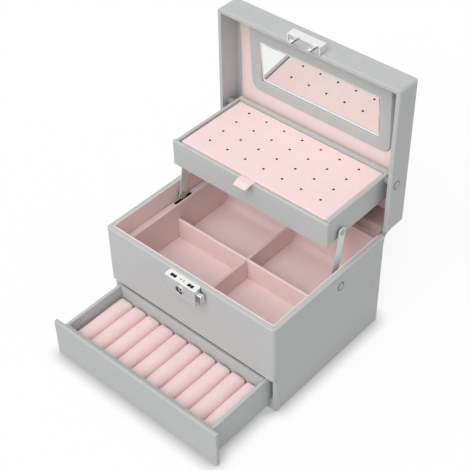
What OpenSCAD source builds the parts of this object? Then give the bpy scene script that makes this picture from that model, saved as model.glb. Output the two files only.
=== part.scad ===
// Travel jewelry box with a mirror in its lid, an earring tray that rises with the lid,
// four velvet compartments and a drawer of ring rolls.
// Millimetres, +Z up. The origin is the centre of the case's underside, and the front faces -Y.
// It is drawn as it stands open: lid upright, tray raised, drawer pulled out.

/* [Pose] */
// How far the lid stands open, in degrees
lid_open = 90; // [0:5:90]
// How far the drawer is pulled out
drawer_pull = 64.6; // [0:0.2:85]

/* [Case] */
// Width of the case, side to side
case_w = 175; // [160:1:220]
// Depth of the case, front to back
case_d = 136; // [130:1:170]
// Height of the case up to its rim
case_h = 94; // [90:1:115]
// Thickness of the covered boards of the case's walls
wall_t = 4; // [3:0.25:5]
// Rounding of the case's upright corners
corner_r = 3; // [1.5:0.25:4]
// Rounding of the covered edges
edge_r = 1.2; // [0.6:0.1:1.6]
// Thickness of the base board
base_t = 3; // [2:0.25:4]

/* [Compartments] */
// Thickness of the board between the compartments and the drawer
middle_t = 3; // [2:0.25:4]
// Thickness of the velvet pad on the compartments' floor
floor_pad_t = 1.2; // [0.8:0.1:2]
// Thickness of the velvet-covered card that lines the walls
lining_t = 1; // [0.8:0.1:1.5]
// How far the lining's edge stands above the rim, as a piping line
piping_rise = 0.5; // [0.2:0.1:0.8]
// Height of the dividers
divider_h = 20; // [12:1:30]
// Thickness of the dividers
divider_t = 2.6; // [2:0.1:4]
// Distance of the long divider behind the case's front face
long_divider_back = 70.4; // [55:0.5:85]
// Width of the ledges that the linkage stands on
ledge_w = 6.5; // [5:0.25:8]
// Depth of the ledges below the rim
ledge_drop = 17; // [16:0.5:19]
// Length of the slot in each ledge
slot_l = 20; // [12:0.5:26]
// Width of the slot in each ledge
slot_w = 3; // [2.4:0.1:3.4]
// Depth of the slot in each ledge
slot_depth = 12; // [6:1:20]

/* [Drawer] */
// Height of the drawer's opening below the upper front
bay_h = 37.7; // [34:0.1:42]
// Depth of the recess that the drawer's front closes into
front_recess = 4; // [3:0.25:5]
// Thickness of the drawer's front
drawer_front_t = 3.7; // [2.6:0.1:4.6]
// Distance of the drawer's sides inside the case's sides
drawer_inset = 7.5; // [5.5:0.25:14]
// Height of the drawer's box
drawer_h = 30.5; // [26:0.5:32]
// Thickness of the drawer's walls
drawer_wall = 3; // [2:0.25:4]
// Thickness of the drawer's floor
drawer_floor_t = 2.5; // [1.5:0.25:3]
// Distance from the drawer's front wall to its cross wall
roll_bay_l = 57.5; // [45:0.5:75]
// Number of ring rolls
roll_count = 10; // [8:1:12]
// Height of the ring rolls' crowns above the drawer's floor
roll_h = 20.6; // [14:0.2:24]
// Thickness of the card under the ring rolls
roll_card_t = 1; // [0.8:0.1:2]
// Height of the strips that guide the drawer
guide_h = 6; // [4:0.5:10]

/* [Lid] */
// Height of the lid
lid_h = 22; // [21:0.5:28]
// Thickness of the lid's walls
lid_wall = 3.5; // [3:0.25:4]
// Thickness of the lid's top board
lid_top_t = 2.25; // [2:0.25:3]
// Gap between the rims of the closed lid and case
rim_gap = 1.2; // [1:0.1:1.6]
// Thickness of the padded lining at its edge
pad_edge_t = 0.8; // [0.5:0.1:1]
// Thickness of the padded lining at its crown
pad_crown_t = 2; // [1.4:0.1:2.2]

/* [Mirror] */
// Thickness of the mirror glass
mirror_t = 1.2; // [1:0.1:1.4]
// Width of the bevel round the visible mirror
bevel_w = 1.4; // [0.6:0.1:4]
// Depth of the bevel at the glass's edge
bevel_d = 0.4; // [0.2:0.1:0.8]
// Width of the mirror frame
frame_w = 138; // [124:1:144]
// How far the frame sits to the right of the lid's middle
frame_shift = 3; // [0:0.5:4]
// Gap between the frame and the lid's front wall
frame_top_gap = 6; // [3:0.5:12]
// Thickness of the mirror frame at its foot
frame_foot_t = 2.4; // [2.4:0.1:3.4]
// How much thicker the frame is at its head, so that the mirror leans
frame_lean_t = 4.4; // [0:0.1:5]
// Rounding of the frame's corners
frame_r = 8; // [4:0.5:12]
// Distance of the frame from the hinge, up the open lid
frame_up = 61.5; // [58:0.5:66]
// Width of the frame beside the mirror
frame_side = 10.5; // [7:0.5:16]
// Height of the frame below the mirror
frame_foot = 11; // [7:0.5:14]
// Height of the frame above the mirror
frame_head = 15.5; // [8:0.5:18]

/* [Linkage] */
// Distance between the two pivots of an arm
arm_l = 46.5; // [44:0.5:48]
// Width of an arm
arm_w = 8.3; // [6:0.1:9]
// Thickness of an arm
arm_t = 1.2; // [1:0.1:1.5]
// How far the arms lean back when the lid is fully open, in degrees
arm_lean = 10; // [6:0.5:12]
// Distance of the case's arm pivot in front of the lid's hinge
pivot_fore = 56.5; // [50:0.5:60]
// Distance of the case's arm pivot below the lid's hinge
pivot_drop = 14.1; // [13.5:0.1:15]
// Radius of the pivot pins
pin_r = 1.5; // [1:0.1:1.8]
// Radius of the domed rivet heads outside
rivet_r = 3.4; // [2.6:0.1:4]
// Height of the domed rivet heads
rivet_h = 1.1; // [0.8:0.1:1.4]
// Radius of the heads and spacers inside
washer_r = 2.8; // [2.3:0.1:3.2]

/* [Tray] */
// Distance of the tray's sides inside the case's sides
tray_inset = 10.35; // [9.9:0.05:11.5]
// Distance of the lowered tray's front behind the case's front face
tray_front_gap = 16.5; // [15:0.25:20]
// Distance of the tray's rear face behind its rear pivot
tray_rear_over = 7.8; // [6:0.1:8]
// Height of the tray
tray_h = 24.5; // [22:0.5:25]
// Thickness of the tray's side walls
tray_wall = 3.2; // [2.6:0.1:4]
// Thickness of the tray's rear wall
tray_rear_t = 5; // [3.5:0.25:6]
// Thickness of the tray's front wall behind its front
tray_fore_t = 1.5; // [1.2:0.1:2.5]
// Thickness of the tray's separate front
tray_front_t = 3; // [2:0.25:4]
// How far the tray's front is wider than the tray on each side
tray_front_over = 1.4; // [0.5:0.1:1.5]
// Thickness of the tray's floor
tray_floor_t = 2.5; // [2:0.25:3.5]
// Height of the front pivot above the tray's underside
tray_pivot_up = 6.8; // [6:0.1:8]

/* [Earring panel] */
// Thickness of the earring panel with its velvet
panel_t = 4.5; // [3.5:0.25:5.5]
// Depth of the panel's face below the tray's rim
panel_drop = 1; // [0.6:0.1:1.6]
// Radius of the earring holes
hole_r = 0.9; // [0.7:0.1:1.2]
// Number of earring holes across
hole_cols = 7; // [5:1:8]
// Number of rows of earring holes
hole_rows = 4; // [3:1:4]
// Distance between holes across
hole_pitch_x = 18.7; // [14:0.1:20]
// Distance between rows of holes
hole_pitch_y = 15.85; // [12:0.05:18]
// Distance of the first row of holes behind the tray's front face
hole_first = 20.1; // [16:0.1:24]
// Width of the ribbon tab
ribbon_w = 14.5; // [8:0.5:20]
// Length of the ribbon tab past the tray's front
ribbon_l = 9.5; // [5:0.5:12]
// Thickness of the folded ribbon
ribbon_t = 0.8; // [0.6:0.1:1.2]

/* [Lock] */
// Width of the lock
lock_w = 31.5; // [29:0.5:36]
// Depth of the lock in front of the case
lock_d = 7.5; // [6.5:0.25:9]
// Height of the lock
lock_h = 15.5; // [14:0.5:18]
// Distance of the lock's top below the case's rim
lock_drop = 1; // [0.8:0.1:2]
// Thickness of the lock's walls
lock_wall = 1; // [0.8:0.1:1.2]
// Height of the hasp's cover on the lid
hasp_h = 7.5; // [6:0.5:10]
// Distance of each prong from the lock's centre
prong_x = 8.9; // [8:0.1:9.5]
// Width of the prongs
prong_w = 4; // [3:0.1:4.4]
// Thickness of the prongs
prong_t = 1.2; // [0.8:0.1:1.4]
// How far the prongs reach into the lock
prong_reach = 8; // [7:0.25:9]
// Depth of the notch in each prong
notch_d = 1.5; // [1.2:0.1:1.8]
// Radius of the key cylinder
key_r = 3.4; // [2.8:0.1:3.8]
// Length that the button stands out of the lock
button_out = 4.75; // [3.5:0.25:6]
// Height of the button
button_h = 8; // [6:0.5:9]
// Depth of the button
button_d = 4.6; // [3.5:0.1:5]
// Travel of the button
button_travel = 2; // [1.8:0.1:2.4]

/* [Hinge] */
// Radius of the hinge's knuckles
knuckle_r = 1.6; // [1.3:0.1:1.8]
// Radius of the hinge's pin
hinge_pin_r = 0.6; // [0.5:0.05:0.8]
// Distance of the hinge's ends inside the case's sides
hinge_inset = 12.5; // [10:0.5:30]
// Number of knuckles, an odd number
knuckle_count = 9; // [5:2:15]
// Thickness of a hinge leaf
leaf_t = 0.5; // [0.4:0.05:0.6]

/* [Hidden] */
$fn = 48;

// Clearances, and one overrun for every cut
over = 1;
fit_gap = 0.05;
slip_gap = 0.3;
soft_gap = 0.3;

// Colours, as the photograph shows them
leatherette = "#bdbdbd";
shaded_leatherette = "#a8a8a8";
velvet = "#f3d6d3";
deep_velvet = "#d9b9b5";
chrome = "#e6e6e8";
steel = "#c9ccce";
glass = "#e8ebea";
dark_steel = "#55575a";

// Places in the case
front_y = -case_d / 2;
back_y = case_d / 2;
side_x = case_w / 2;
in_x = side_x - wall_t;
in_y = case_d / 2 - wall_t;
lined_x = in_x - lining_t;
lined_y = in_y - lining_t;
middle_z = bay_h;
floor_z = middle_z + middle_t + floor_pad_t;
ledge_z = case_h - ledge_drop;
ledge_in = lined_x - ledge_w;

// The lid's hinge, and the linkage that hangs on it
hinge_l = case_w - 2 * hinge_inset;
hinge_y = back_y;
leaf_y = back_y - lid_wall + slip_gap;
hinge_z = case_h + rim_gap / 2;
rim_z = case_h + rim_gap;
lid_top_z = rim_z + lid_h;
lid_in_x = side_x - lid_wall;
lid_in_y = case_d / 2 - lid_wall;
lid_board_z = lid_top_z - lid_top_t;
frame_h = case_d - lid_wall - frame_up - frame_top_gap;
mirror_lip = 1;
fully_open = 90;
lean = arm_lean + lid_open - fully_open;
crank = [arm_l * sin(lean), arm_l * cos(lean)];
shut_crank = [arm_l * sin(arm_lean - fully_open), arm_l * cos(arm_lean - fully_open)];
case_pivot = [hinge_y - pivot_fore, hinge_z - pivot_drop];
tray_pivot = case_pivot + crank;
lid_pivot = [hinge_y, hinge_z] + shut_crank;
rear_pivot = [hinge_y, hinge_z] + crank;

// The frame's head clears the ribbon on the closed tray, and the mirror leans with its face
shut_tray_top = case_pivot[1] + shut_crank[1] - tray_pivot_up + tray_h;
frame_head_t = min(frame_foot_t + frame_lean_t, lid_board_z - shut_tray_top - 2 * ribbon_t - fit_gap);
frame_lean = atan((frame_head_t - frame_foot_t) / frame_h);
mirror_w = frame_w - 2 * frame_side;
mirror_h = frame_h / cos(frame_lean) - frame_foot - frame_head;

// The tray, and what lies beside it
tray_w = case_w - 2 * tray_inset;
tray_pivot_back = case_pivot[0] + shut_crank[0] - front_y - tray_front_gap;
tray_d = tray_pivot_back + pivot_fore + tray_rear_over;
tray_x = tray_w / 2;
tray_y = tray_pivot[0] - tray_pivot_back;
tray_z = tray_pivot[1] - tray_pivot_up;
tray_box_y = tray_y + tray_front_t;
tray_in_x = tray_x - tray_wall;
tray_in_y = tray_box_y + tray_fore_t;
tray_in_back = tray_y + tray_d - tray_rear_t;
arm_in = tray_x + tray_front_over + slip_gap + fit_gap;
arm_out = arm_in + arm_t;
washer_l = arm_in - tray_x - fit_gap;
screw_in = tray_x - tray_wall + fit_gap;
cap_h = arm_in - tray_x - 3 * slip_gap;
panel_top = tray_z + tray_h - panel_drop;
panel_under = panel_top - panel_t;
panel_x = tray_in_x - slip_gap;
panel_y = tray_box_y + ribbon_t + slip_gap;
panel_back = tray_in_back - slip_gap;

// The drawer
drawer_w = case_w - 2 * drawer_inset;
drawer_y = front_y - drawer_pull;
drawer_top_gap = 0.8;
floor_gap = 0.6;
drawer_box_y = drawer_y + drawer_front_t;
drawer_z = base_t + slip_gap;
drawer_rear_gap = 1;
drawer_back = back_y - wall_t - drawer_rear_gap - drawer_pull;
drawer_in_x = drawer_w / 2 - drawer_wall;
drawer_in_y = drawer_box_y + drawer_wall;
drawer_floor = drawer_z + drawer_floor_t;
cross_y = drawer_in_y + roll_bay_l;
cross_t = 2.6;
roll_pitch = 2 * drawer_in_x / roll_count;
roll_w = roll_pitch - soft_gap;
roll_len = roll_bay_l - 2 * soft_gap;
roll_foot_r = 2;
roll_end_r = 6.5;

// The lock
lock_top = case_h - lock_drop;
lock_plate_t = 1;
lock_face = front_y - lock_d;
prong_depth_share = 0.55;
lock_mid_y = front_y - lock_d * prong_depth_share;
prong_slot_gap = 0.9;
prong_tip = rim_z - prong_reach + lock_drop;
key_z = lock_top - lock_h / 2;
tooth_t = 1.2;
tooth_z = prong_tip + 1.5 * tooth_t;
bar_t = 1.2;
bar_h = 3.4;
button_x = lock_w / 2 - lock_wall;
button_y = front_y - lock_d / 2;
hasp_foot = lock_top + lock_drop;

// A rectangle with rounded corners, centred
module rounded_rect(w, h, r) {
    square([w - 2 * r, h], center = true);
    square([w, h - 2 * r], center = true);
    for (sx = [-1, 1], sy = [-1, 1])
        translate([sx * (w / 2 - r), sy * (h / 2 - r)]) circle(r);
}

// A covered board or box: upright corners of one radius and softer edges all round
module covered_block(w, d, h, r, e) {
    intersection() {
        linear_extrude(h) rounded_rect(w, d, r);
        translate([0, d / 2 + over, h / 2])
            rotate([90, 0, 0]) linear_extrude(d + 2 * over) rounded_rect(w, h, e);
        translate([-w / 2 - over, 0, h / 2])
            rotate([90, 0, 90]) linear_extrude(w + 2 * over) rounded_rect(d, h, e);
    }
}

// A round pin along X, from x0 to x1
module pin_x(x0, x1, r) {
    translate([x0, 0, 0]) rotate([0, 90, 0]) cylinder(h = x1 - x0, r = r);
}

// A ring along X, from x0 to x1
module ring_x(x0, x1, r, bore) {
    difference() {
        pin_x(x0, x1, r);
        pin_x(x0 - over, x1 + over, bore);
    }
}

// A low dome along X that starts at x0, with a rounded rim
module dome_x(x0, r, h) {
    crown_r = (r * r + h * h) / (2 * h);
    translate([x0, 0, 0]) rotate([0, 90, 0]) intersection() {
        cylinder(h = h, r = r);
        translate([0, 0, h - crown_r]) sphere(crown_r);
    }
}

// Both sides of the box, mirrored
module both_sides() {
    children();
    mirror([1, 0, 0]) children();
}

// What belongs to the lid is drawn closed and turned open about the hinge
module opened() {
    translate([0, hinge_y, hinge_z]) rotate([-lid_open, 0, 0])
        translate([0, -hinge_y, -hinge_z]) children();
}

module at_pivot(p) {
    translate([0, p[0], p[1]]) children();
}

module case_shell() {
    color(leatherette) difference() {
        covered_block(case_w, case_d, case_h, corner_r, edge_r);
        translate([-in_x, -in_y, -over]) cube([2 * in_x, 2 * in_y, case_h + 2 * over]);
        translate([-side_x - over, front_y - over, -over])
            cube([case_w + 2 * over, front_recess + over, bay_h + over]);
        translate([-in_x, front_y - over, -over]) cube([2 * in_x, wall_t + 2 * over, bay_h + over]);
        both_sides() at_pivot(case_pivot) pin_x(in_x - over, side_x + over, pin_r + fit_gap);
        hinge_recess(case_h - leaf_t);
    }
}

module base_board() {
    board_y = front_y + front_recess;
    color(shaded_leatherette) translate([-in_x, board_y, 0]) cube([2 * in_x, in_y - board_y, base_t]);
}

module middle_board() {
    color(shaded_leatherette)
        translate([-in_x, -in_y, middle_z]) cube([2 * in_x, 2 * in_y, middle_t]);
}

module case_lining() {
    lining_z = middle_z + middle_t;
    color(velvet) difference() {
        translate([-in_x, -in_y, lining_z]) cube([2 * in_x, 2 * in_y, case_h + piping_rise - lining_z]);
        translate([-lined_x, -lined_y, lining_z - over])
            cube([2 * lined_x, 2 * lined_y, case_h - lining_z + 2 * over]);
        both_sides() at_pivot(case_pivot) pin_x(lined_x - over, in_x + over, pin_r + fit_gap);
    }
}

module floor_pad() {
    color(deep_velvet)
        translate([-lined_x, -lined_y, middle_z + middle_t]) cube([2 * lined_x, 2 * lined_y, floor_pad_t]);
}

module ledge() {
    slot_x = (arm_in + arm_out) / 2;
    color(velvet) difference() {
        translate([ledge_in, -lined_y, floor_z]) cube([ledge_w, 2 * lined_y, ledge_z - floor_z]);
        translate([slot_x - slot_w / 2, case_pivot[0] - slot_l / 2, ledge_z - slot_depth])
            cube([slot_w, slot_l, slot_depth + over]);
    }
}

module left_ledge() {
    mirror([1, 0, 0]) ledge();
}

module right_ledge() {
    ledge();
}

// A velvet-covered divider along X, with a rounded top edge
module divider(length) {
    rotate([90, 0, 90]) translate([0, 0, -length / 2]) linear_extrude(length) {
        translate([-divider_t / 2, 0]) square([divider_t, divider_h - divider_t / 2]);
        translate([0, divider_h - divider_t / 2]) circle(divider_t / 2);
    }
}

module long_divider() {
    color(velvet) difference() {
        translate([0, front_y + long_divider_back, floor_z]) divider(2 * ledge_in);
        translate([-divider_t / 2 - fit_gap, front_y + long_divider_back - divider_t, floor_z - over])
            cube([divider_t + 2 * fit_gap, 2 * divider_t, divider_h / 2 + over]);
    }
}

module cross_divider() {
    color(velvet) difference() {
        translate([0, 0, floor_z]) rotate([0, 0, 90]) divider(2 * lined_y);
        translate([
            -divider_t,
            front_y + long_divider_back - divider_t / 2 - fit_gap,
            floor_z + divider_h / 2
        ])
            cube([2 * divider_t, divider_t + 2 * fit_gap, divider_h]);
    }
}

module drawer_guides() {
    guide_y = front_y + front_recess + edge_r;
    guide_x = drawer_w / 2 + slip_gap;
    color(shaded_leatherette) both_sides()
        translate([guide_x, guide_y, base_t]) cube([in_x - guide_x, in_y - guide_y, guide_h]);
}

// Rivets that carry the arms: a domed head outside, the pin, and a cap inside the arm
module case_rivets() {
    color(chrome) both_sides() at_pivot(case_pivot) {
        dome_x(side_x, rivet_r, rivet_h);
        pin_x(arm_in - fit_gap - cap_h / 2, side_x, pin_r);
        pin_x(arm_in - fit_gap - cap_h, arm_in - fit_gap, washer_r);
    }
}

module case_spacers() {
    color(steel) both_sides() at_pivot(case_pivot)
        ring_x(arm_out + fit_gap, lined_x, washer_r, pin_r + fit_gap);
}

// One leaf of the hinge with every second knuckle, let into a rim so that its foot is at leaf_z
module hinge_leaf(leaf_z, first) {
    step = hinge_l / knuckle_count;
    web = knuckle_r + slip_gap;
    difference() {
        union() {
            translate([-hinge_l / 2, leaf_y, leaf_z]) cube([hinge_l, hinge_y - web - leaf_y, leaf_t]);
            for (i = [first:2:knuckle_count - 1]) {
                x0 = -hinge_l / 2 + i * step + slip_gap / 2;
                x1 = x0 + step - slip_gap;
                at_pivot([hinge_y, hinge_z]) pin_x(x0, x1, knuckle_r);
                translate([x0, hinge_y - web - over, leaf_z]) cube([x1 - x0, web + over, leaf_t]);
            }
        }
        at_pivot([hinge_y, hinge_z])
            pin_x(-hinge_l / 2 - over, hinge_l / 2 + over, hinge_pin_r + fit_gap);
    }
}

// The recess for a leaf and the groove for the knuckles, cut into a rim
module hinge_recess(leaf_z) {
    at_pivot([hinge_y, hinge_z])
        pin_x(-hinge_l / 2 - slip_gap, hinge_l / 2 + slip_gap, knuckle_r + slip_gap);
    translate([-hinge_l / 2 - fit_gap, leaf_y - fit_gap, leaf_z])
        cube([hinge_l + 2 * fit_gap, hinge_y - leaf_y, leaf_t]);
}

module hinge_case_leaf() {
    color(steel) hinge_leaf(case_h - leaf_t, 0);
}

module hinge_lid_leaf() {
    color(steel) opened() hinge_leaf(rim_z, 1);
}

module hinge_pin() {
    color(dark_steel) at_pivot([hinge_y, hinge_z]) pin_x(-hinge_l / 2, hinge_l / 2, hinge_pin_r);
}

// The lock's housing: a pressed box against the case, open for the top plate, the key and the button
module lock_housing() {
    body_h = lock_h - lock_plate_t;
    foot_z = lock_top - lock_h;
    color(chrome) difference() {
        translate([0, button_y, foot_z]) linear_extrude(body_h) rounded_rect(lock_w, lock_d, lock_wall);
        translate([-lock_w / 2 + lock_wall, lock_face + lock_wall, foot_z + lock_wall])
            cube([lock_w - 2 * lock_wall, lock_d, body_h]);
        translate([0, lock_face - over, key_z]) rotate([-90, 0, 0])
            cylinder(h = lock_wall + 2 * over, r = key_r + fit_gap);
        translate([button_x - over, button_y - button_d / 2 - slip_gap, key_z - button_h / 2 - slip_gap])
            cube([lock_wall + 2 * over, button_d + 2 * slip_gap, button_h + 2 * slip_gap]);
    }
}

module lock_top_plate() {
    dot_r = 0.5;
    dot_gap = 3;
    slot_size = [prong_w + 2 * prong_slot_gap, prong_t + 2 * prong_slot_gap, 3 * lock_plate_t];
    color(chrome) difference() {
        translate([0, button_y, lock_top - lock_plate_t])
            linear_extrude(lock_plate_t) rounded_rect(lock_w, lock_d, lock_wall);
        for (side = [-1, 1]) {
            translate([side * prong_x, lock_mid_y, lock_top]) cube(slot_size, center = true);
            translate([side * dot_gap / 2, lock_mid_y, lock_top - lock_plate_t / 2])
                cylinder(h = lock_plate_t, r = dot_r);
        }
    }
}

module key_rosette() {
    ring_t = 0.6;
    color(chrome) translate([0, lock_face, key_z]) rotate([90, 0, 0]) difference() {
        cylinder(h = ring_t, r = key_r + 2 * ring_t);
        translate([0, 0, -over]) cylinder(h = ring_t + 2 * over, r = key_r + fit_gap);
    }
}

module key_cylinder() {
    key_slot_w = 1;
    key_slot_h = 3.4;
    core_l = lock_d - bar_t - 2 * slip_gap - lock_wall;
    proud = 0.4;
    color(dark_steel) translate([0, lock_face - proud, key_z]) rotate([-90, 0, 0]) difference() {
        cylinder(h = core_l + proud, r = key_r);
        translate([0, 0, -over]) linear_extrude(core_l / 2 + over) {
            square([key_slot_w, key_slot_h], center = true);
            circle(key_slot_w);
        }
    }
}

// The button at the lock's right end, with ribs across its front and back
module push_button() {
    rib_count = 4;
    rib_w = button_out / (2 * rib_count + 1);
    rib_d = 0.4;
    color(chrome) difference() {
        translate([button_x, button_y, key_z]) rotate([0, 90, 0])
            linear_extrude(lock_wall + button_out) rounded_rect(button_h, button_d, lock_wall);
        for (i = [1:rib_count], side = [-1, 1])
            translate([
                lock_w / 2 + (2 * i - 0.5) * rib_w,
                button_y + side * button_d / 2,
                key_z
            ])
                cube([rib_w, 2 * rib_d, button_h + over], center = true);
    }
}

// The latch bar behind the key cylinder: two teeth that stand in the prongs' notches, and a foot
// that the button pushes
module latch_bar() {
    bar_y = front_y - bar_t - slip_gap;
    bar_x = -prong_x - prong_w / 2 - tooth_t;
    tooth_y = lock_mid_y - prong_t / 2;
    color(steel) {
        translate([bar_x, bar_y, tooth_z - bar_h / 2]) cube([button_x - bar_x, bar_t, bar_h]);
        for (side = [-1, 1])
            translate([side * prong_x - prong_w / 2 - tooth_t, tooth_y, tooth_z - tooth_t / 2])
                cube([tooth_t + notch_d - slip_gap, bar_y - tooth_y + bar_t / 2, tooth_t]);
        translate([button_x - tooth_t, button_y, key_z])
            cube([tooth_t, bar_y + bar_t - button_y, tooth_z + bar_h / 2 - key_z]);
    }
}

module lid_shell() {
    color(leatherette) opened() difference() {
        translate([0, 0, rim_z]) covered_block(case_w, case_d, lid_h, corner_r, edge_r);
        translate([-lid_in_x, -lid_in_y, rim_z - over])
            cube([2 * lid_in_x, 2 * lid_in_y, lid_board_z - rim_z + over]);
        both_sides() at_pivot(lid_pivot) pin_x(lid_in_x - over, side_x + over, pin_r + fit_gap);
        hinge_recess(rim_z);
    }
}

// A low crown over a width: points of an arc from one edge to the other, then back along the board
function crown_outline(half, edge, crown, steps = 12) = concat(
    [for (i = [0:steps]) let (t = -1 + 2 * i / steps) [t * half, edge + (crown - edge) * (1 - t * t)]],
    [[half, 0], [-half, 0]]
);

module frame_outline() {
    translate([frame_shift, hinge_y - frame_up - frame_h / 2]) rounded_rect(frame_w, frame_h, frame_r);
}

// Stands on the frame's leaning face, with the middle of its foot at the origin and +z into the frame
module on_frame_face() {
    translate([frame_shift, hinge_y - frame_up, lid_board_z - frame_foot_t])
        rotate([frame_lean, 0, 0]) children();
}

module lid_pad() {
    color(velvet) opened() difference() {
        intersection() {
            translate([0, lid_in_y, lid_board_z]) rotate([90, 0, 0]) mirror([0, 1, 0])
                linear_extrude(2 * lid_in_y) polygon(crown_outline(lid_in_x, pad_edge_t, pad_crown_t));
            translate([-lid_in_x, 0, lid_board_z]) rotate([90, 0, 90]) mirror([0, 1, 0])
                linear_extrude(2 * lid_in_x) polygon(crown_outline(lid_in_y, pad_edge_t, pad_crown_t));
        }
        translate([0, 0, lid_board_z - pad_crown_t - over])
            linear_extrude(pad_crown_t + 2 * over) frame_outline();
        translate([-side_x, lid_in_y - lining_t, lid_board_z - pad_crown_t - over])
            cube([case_w, 2 * lining_t, pad_crown_t + 2 * over]);
    }
}

// The velvet card on the lid's rear wall, between the hinge and the padded lining
module lid_rear_lining() {
    color(velvet) opened() translate([-lid_in_x, lid_in_y - lining_t, rim_z])
        cube([2 * lid_in_x, lining_t, lid_board_z - rim_z]);
}

module mirror_window(margin) {
    translate([0, -frame_foot - mirror_h / 2])
        square([mirror_w + 2 * margin, mirror_h + 2 * margin], center = true);
}

module mirror_frame() {
    color(shaded_leatherette) opened() difference() {
        translate([0, 0, lid_board_z - frame_head_t]) linear_extrude(frame_head_t) frame_outline();
        on_frame_face() {
            translate([-frame_w, -2 * frame_h, -frame_head_t]) cube([2 * frame_w, 3 * frame_h, frame_head_t]);
            translate([0, 0, -over]) linear_extrude(frame_head_t) mirror_window(0);
            translate([0, 0, mirror_lip]) linear_extrude(frame_head_t) mirror_window(mirror_lip + fit_gap);
        }
    }
}

// A strip of glass that is w wide, with a flat bevel along both edges of its face
module bevelled_profile(w, length) {
    run = mirror_lip + bevel_w;
    rotate([90, 0, 0]) translate([0, 0, -length / 2]) linear_extrude(length)
        polygon([[-w / 2, mirror_t], [w / 2, mirror_t], [w / 2, bevel_d], [w / 2 - run, 0],
                 [-w / 2 + run, 0], [-w / 2, bevel_d]]);
}

module mirror_glass() {
    glass_w = mirror_w + 2 * mirror_lip;
    glass_h = mirror_h + 2 * mirror_lip;
    color(glass) opened() on_frame_face() translate([0, -frame_foot - mirror_h / 2, mirror_lip])
        intersection() {
            bevelled_profile(glass_w, glass_h);
            rotate([0, 0, 90]) bevelled_profile(glass_h, glass_w);
        }
}

// The card that fills the frame behind the glass
module mirror_backing() {
    color(shaded_leatherette) opened() difference() {
        on_frame_face() translate([0, 0, mirror_lip + mirror_t]) linear_extrude(frame_head_t)
            mirror_window(mirror_lip);
        translate([-case_w, -case_d, lid_board_z]) cube([2 * case_w, 2 * case_d, 2 * frame_head_t]);
    }
}

module hasp_cover() {
    color(chrome) opened() difference() {
        translate([0, button_y, hasp_foot]) linear_extrude(hasp_h) rounded_rect(lock_w, lock_d, lock_wall);
        translate([-lock_w / 2 + lock_wall, lock_face + lock_wall, hasp_foot - over])
            cube([lock_w - 2 * lock_wall, lock_d, hasp_h - lock_wall + over]);
    }
}

// The plate that closes the cover from below, with a flange on the lid's front wall and two notched prongs
module hasp_prongs() {
    plate_t = 1;
    sunk = 0.6;
    plate_foot = hasp_foot + sunk;
    plate_w = lock_w - 2 * lock_wall;
    color(steel) opened() {
        translate([-plate_w / 2, lock_face + lock_wall, plate_foot])
            cube([plate_w, lock_d - lock_wall, plate_t]);
        translate([-plate_w / 2, front_y - plate_t, plate_foot])
            cube([plate_w, plate_t, hasp_h - lock_wall - sunk]);
        for (side = [-1, 1]) difference() {
            translate([side * prong_x - prong_w / 2, lock_mid_y - prong_t / 2, prong_tip])
                cube([prong_w, prong_t, plate_foot + plate_t - prong_tip]);
            translate([
                side * prong_x - prong_w / 2 - over,
                lock_mid_y - prong_t,
                tooth_z - tooth_t / 2 - slip_gap
            ])
                cube([over + notch_d, 2 * prong_t, tooth_t + 2 * slip_gap]);
        }
    }
}

module lid_rivets() {
    color(chrome) opened() both_sides() at_pivot(lid_pivot) {
        dome_x(side_x, rivet_r, rivet_h);
        pin_x(screw_in, side_x, pin_r);
    }
}

module lid_spacers() {
    color(steel) opened() both_sides() at_pivot(lid_pivot)
        ring_x(tray_x + fit_gap, lid_in_x, washer_r, pin_r + fit_gap);
}

// A flat arm with round ends and a pin hole at each
module arm() {
    color(steel) at_pivot(case_pivot) rotate([-lean, 0, 0]) translate([arm_in, 0, 0]) rotate([90, 0, 90])
        linear_extrude(arm_t) difference() {
            union() {
                translate([-arm_w / 2, 0]) square([arm_w, arm_l]);
                circle(arm_w / 2);
                translate([0, arm_l]) circle(arm_w / 2);
            }
            circle(pin_r + fit_gap);
            translate([0, arm_l]) circle(pin_r + fit_gap);
        }
}

module left_arm() {
    mirror([1, 0, 0]) arm();
}

module right_arm() {
    arm();
}

module tray_box() {
    box_d = tray_d - tray_front_t;
    color(leatherette) difference() {
        translate([0, tray_box_y + (box_d - corner_r) / 2, tray_z])
            covered_block(tray_w, box_d + corner_r, tray_h, edge_r + fit_gap, edge_r);
        translate([-tray_w / 2 - over, tray_box_y - 2 * corner_r, tray_z - over])
            cube([tray_w + 2 * over, 2 * corner_r, tray_h + 2 * over]);
        translate([-tray_in_x, tray_in_y, tray_z + tray_floor_t])
            cube([2 * tray_in_x, tray_in_back - tray_in_y, tray_h]);
        // the front wall stops under the panel, whose edge lies over it
        translate([-tray_in_x, tray_box_y - over, panel_under - soft_gap])
            cube([2 * tray_in_x, tray_in_back - tray_box_y, tray_h]);
        both_sides() at_pivot(tray_pivot) pin_x(screw_in - fit_gap - over, tray_x + over, pin_r + fit_gap);
        both_sides() at_pivot(rear_pivot) pin_x(screw_in - fit_gap - over, tray_x + over, pin_r + fit_gap);
    }
}

module tray_front() {
    front_w = tray_w + 2 * tray_front_over;
    color(leatherette) translate([0, tray_y + tray_front_t / 2, tray_z])
        covered_block(front_w, tray_front_t, tray_h, edge_r, edge_r);
}

// The velvet card inside the tray, whose top edges carry the earring panel
module tray_lining() {
    lining_h = panel_under - tray_z - tray_floor_t - soft_gap;
    color(velvet) difference() {
        translate([-tray_in_x, tray_in_y, tray_z + tray_floor_t])
            cube([2 * tray_in_x, tray_in_back - tray_in_y, lining_h]);
        translate([-tray_in_x + lining_t, tray_in_y + lining_t, tray_z + tray_floor_t + lining_t])
            cube([2 * (tray_in_x - lining_t), tray_in_back - tray_in_y - 2 * lining_t, lining_h]);
    }
}

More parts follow.
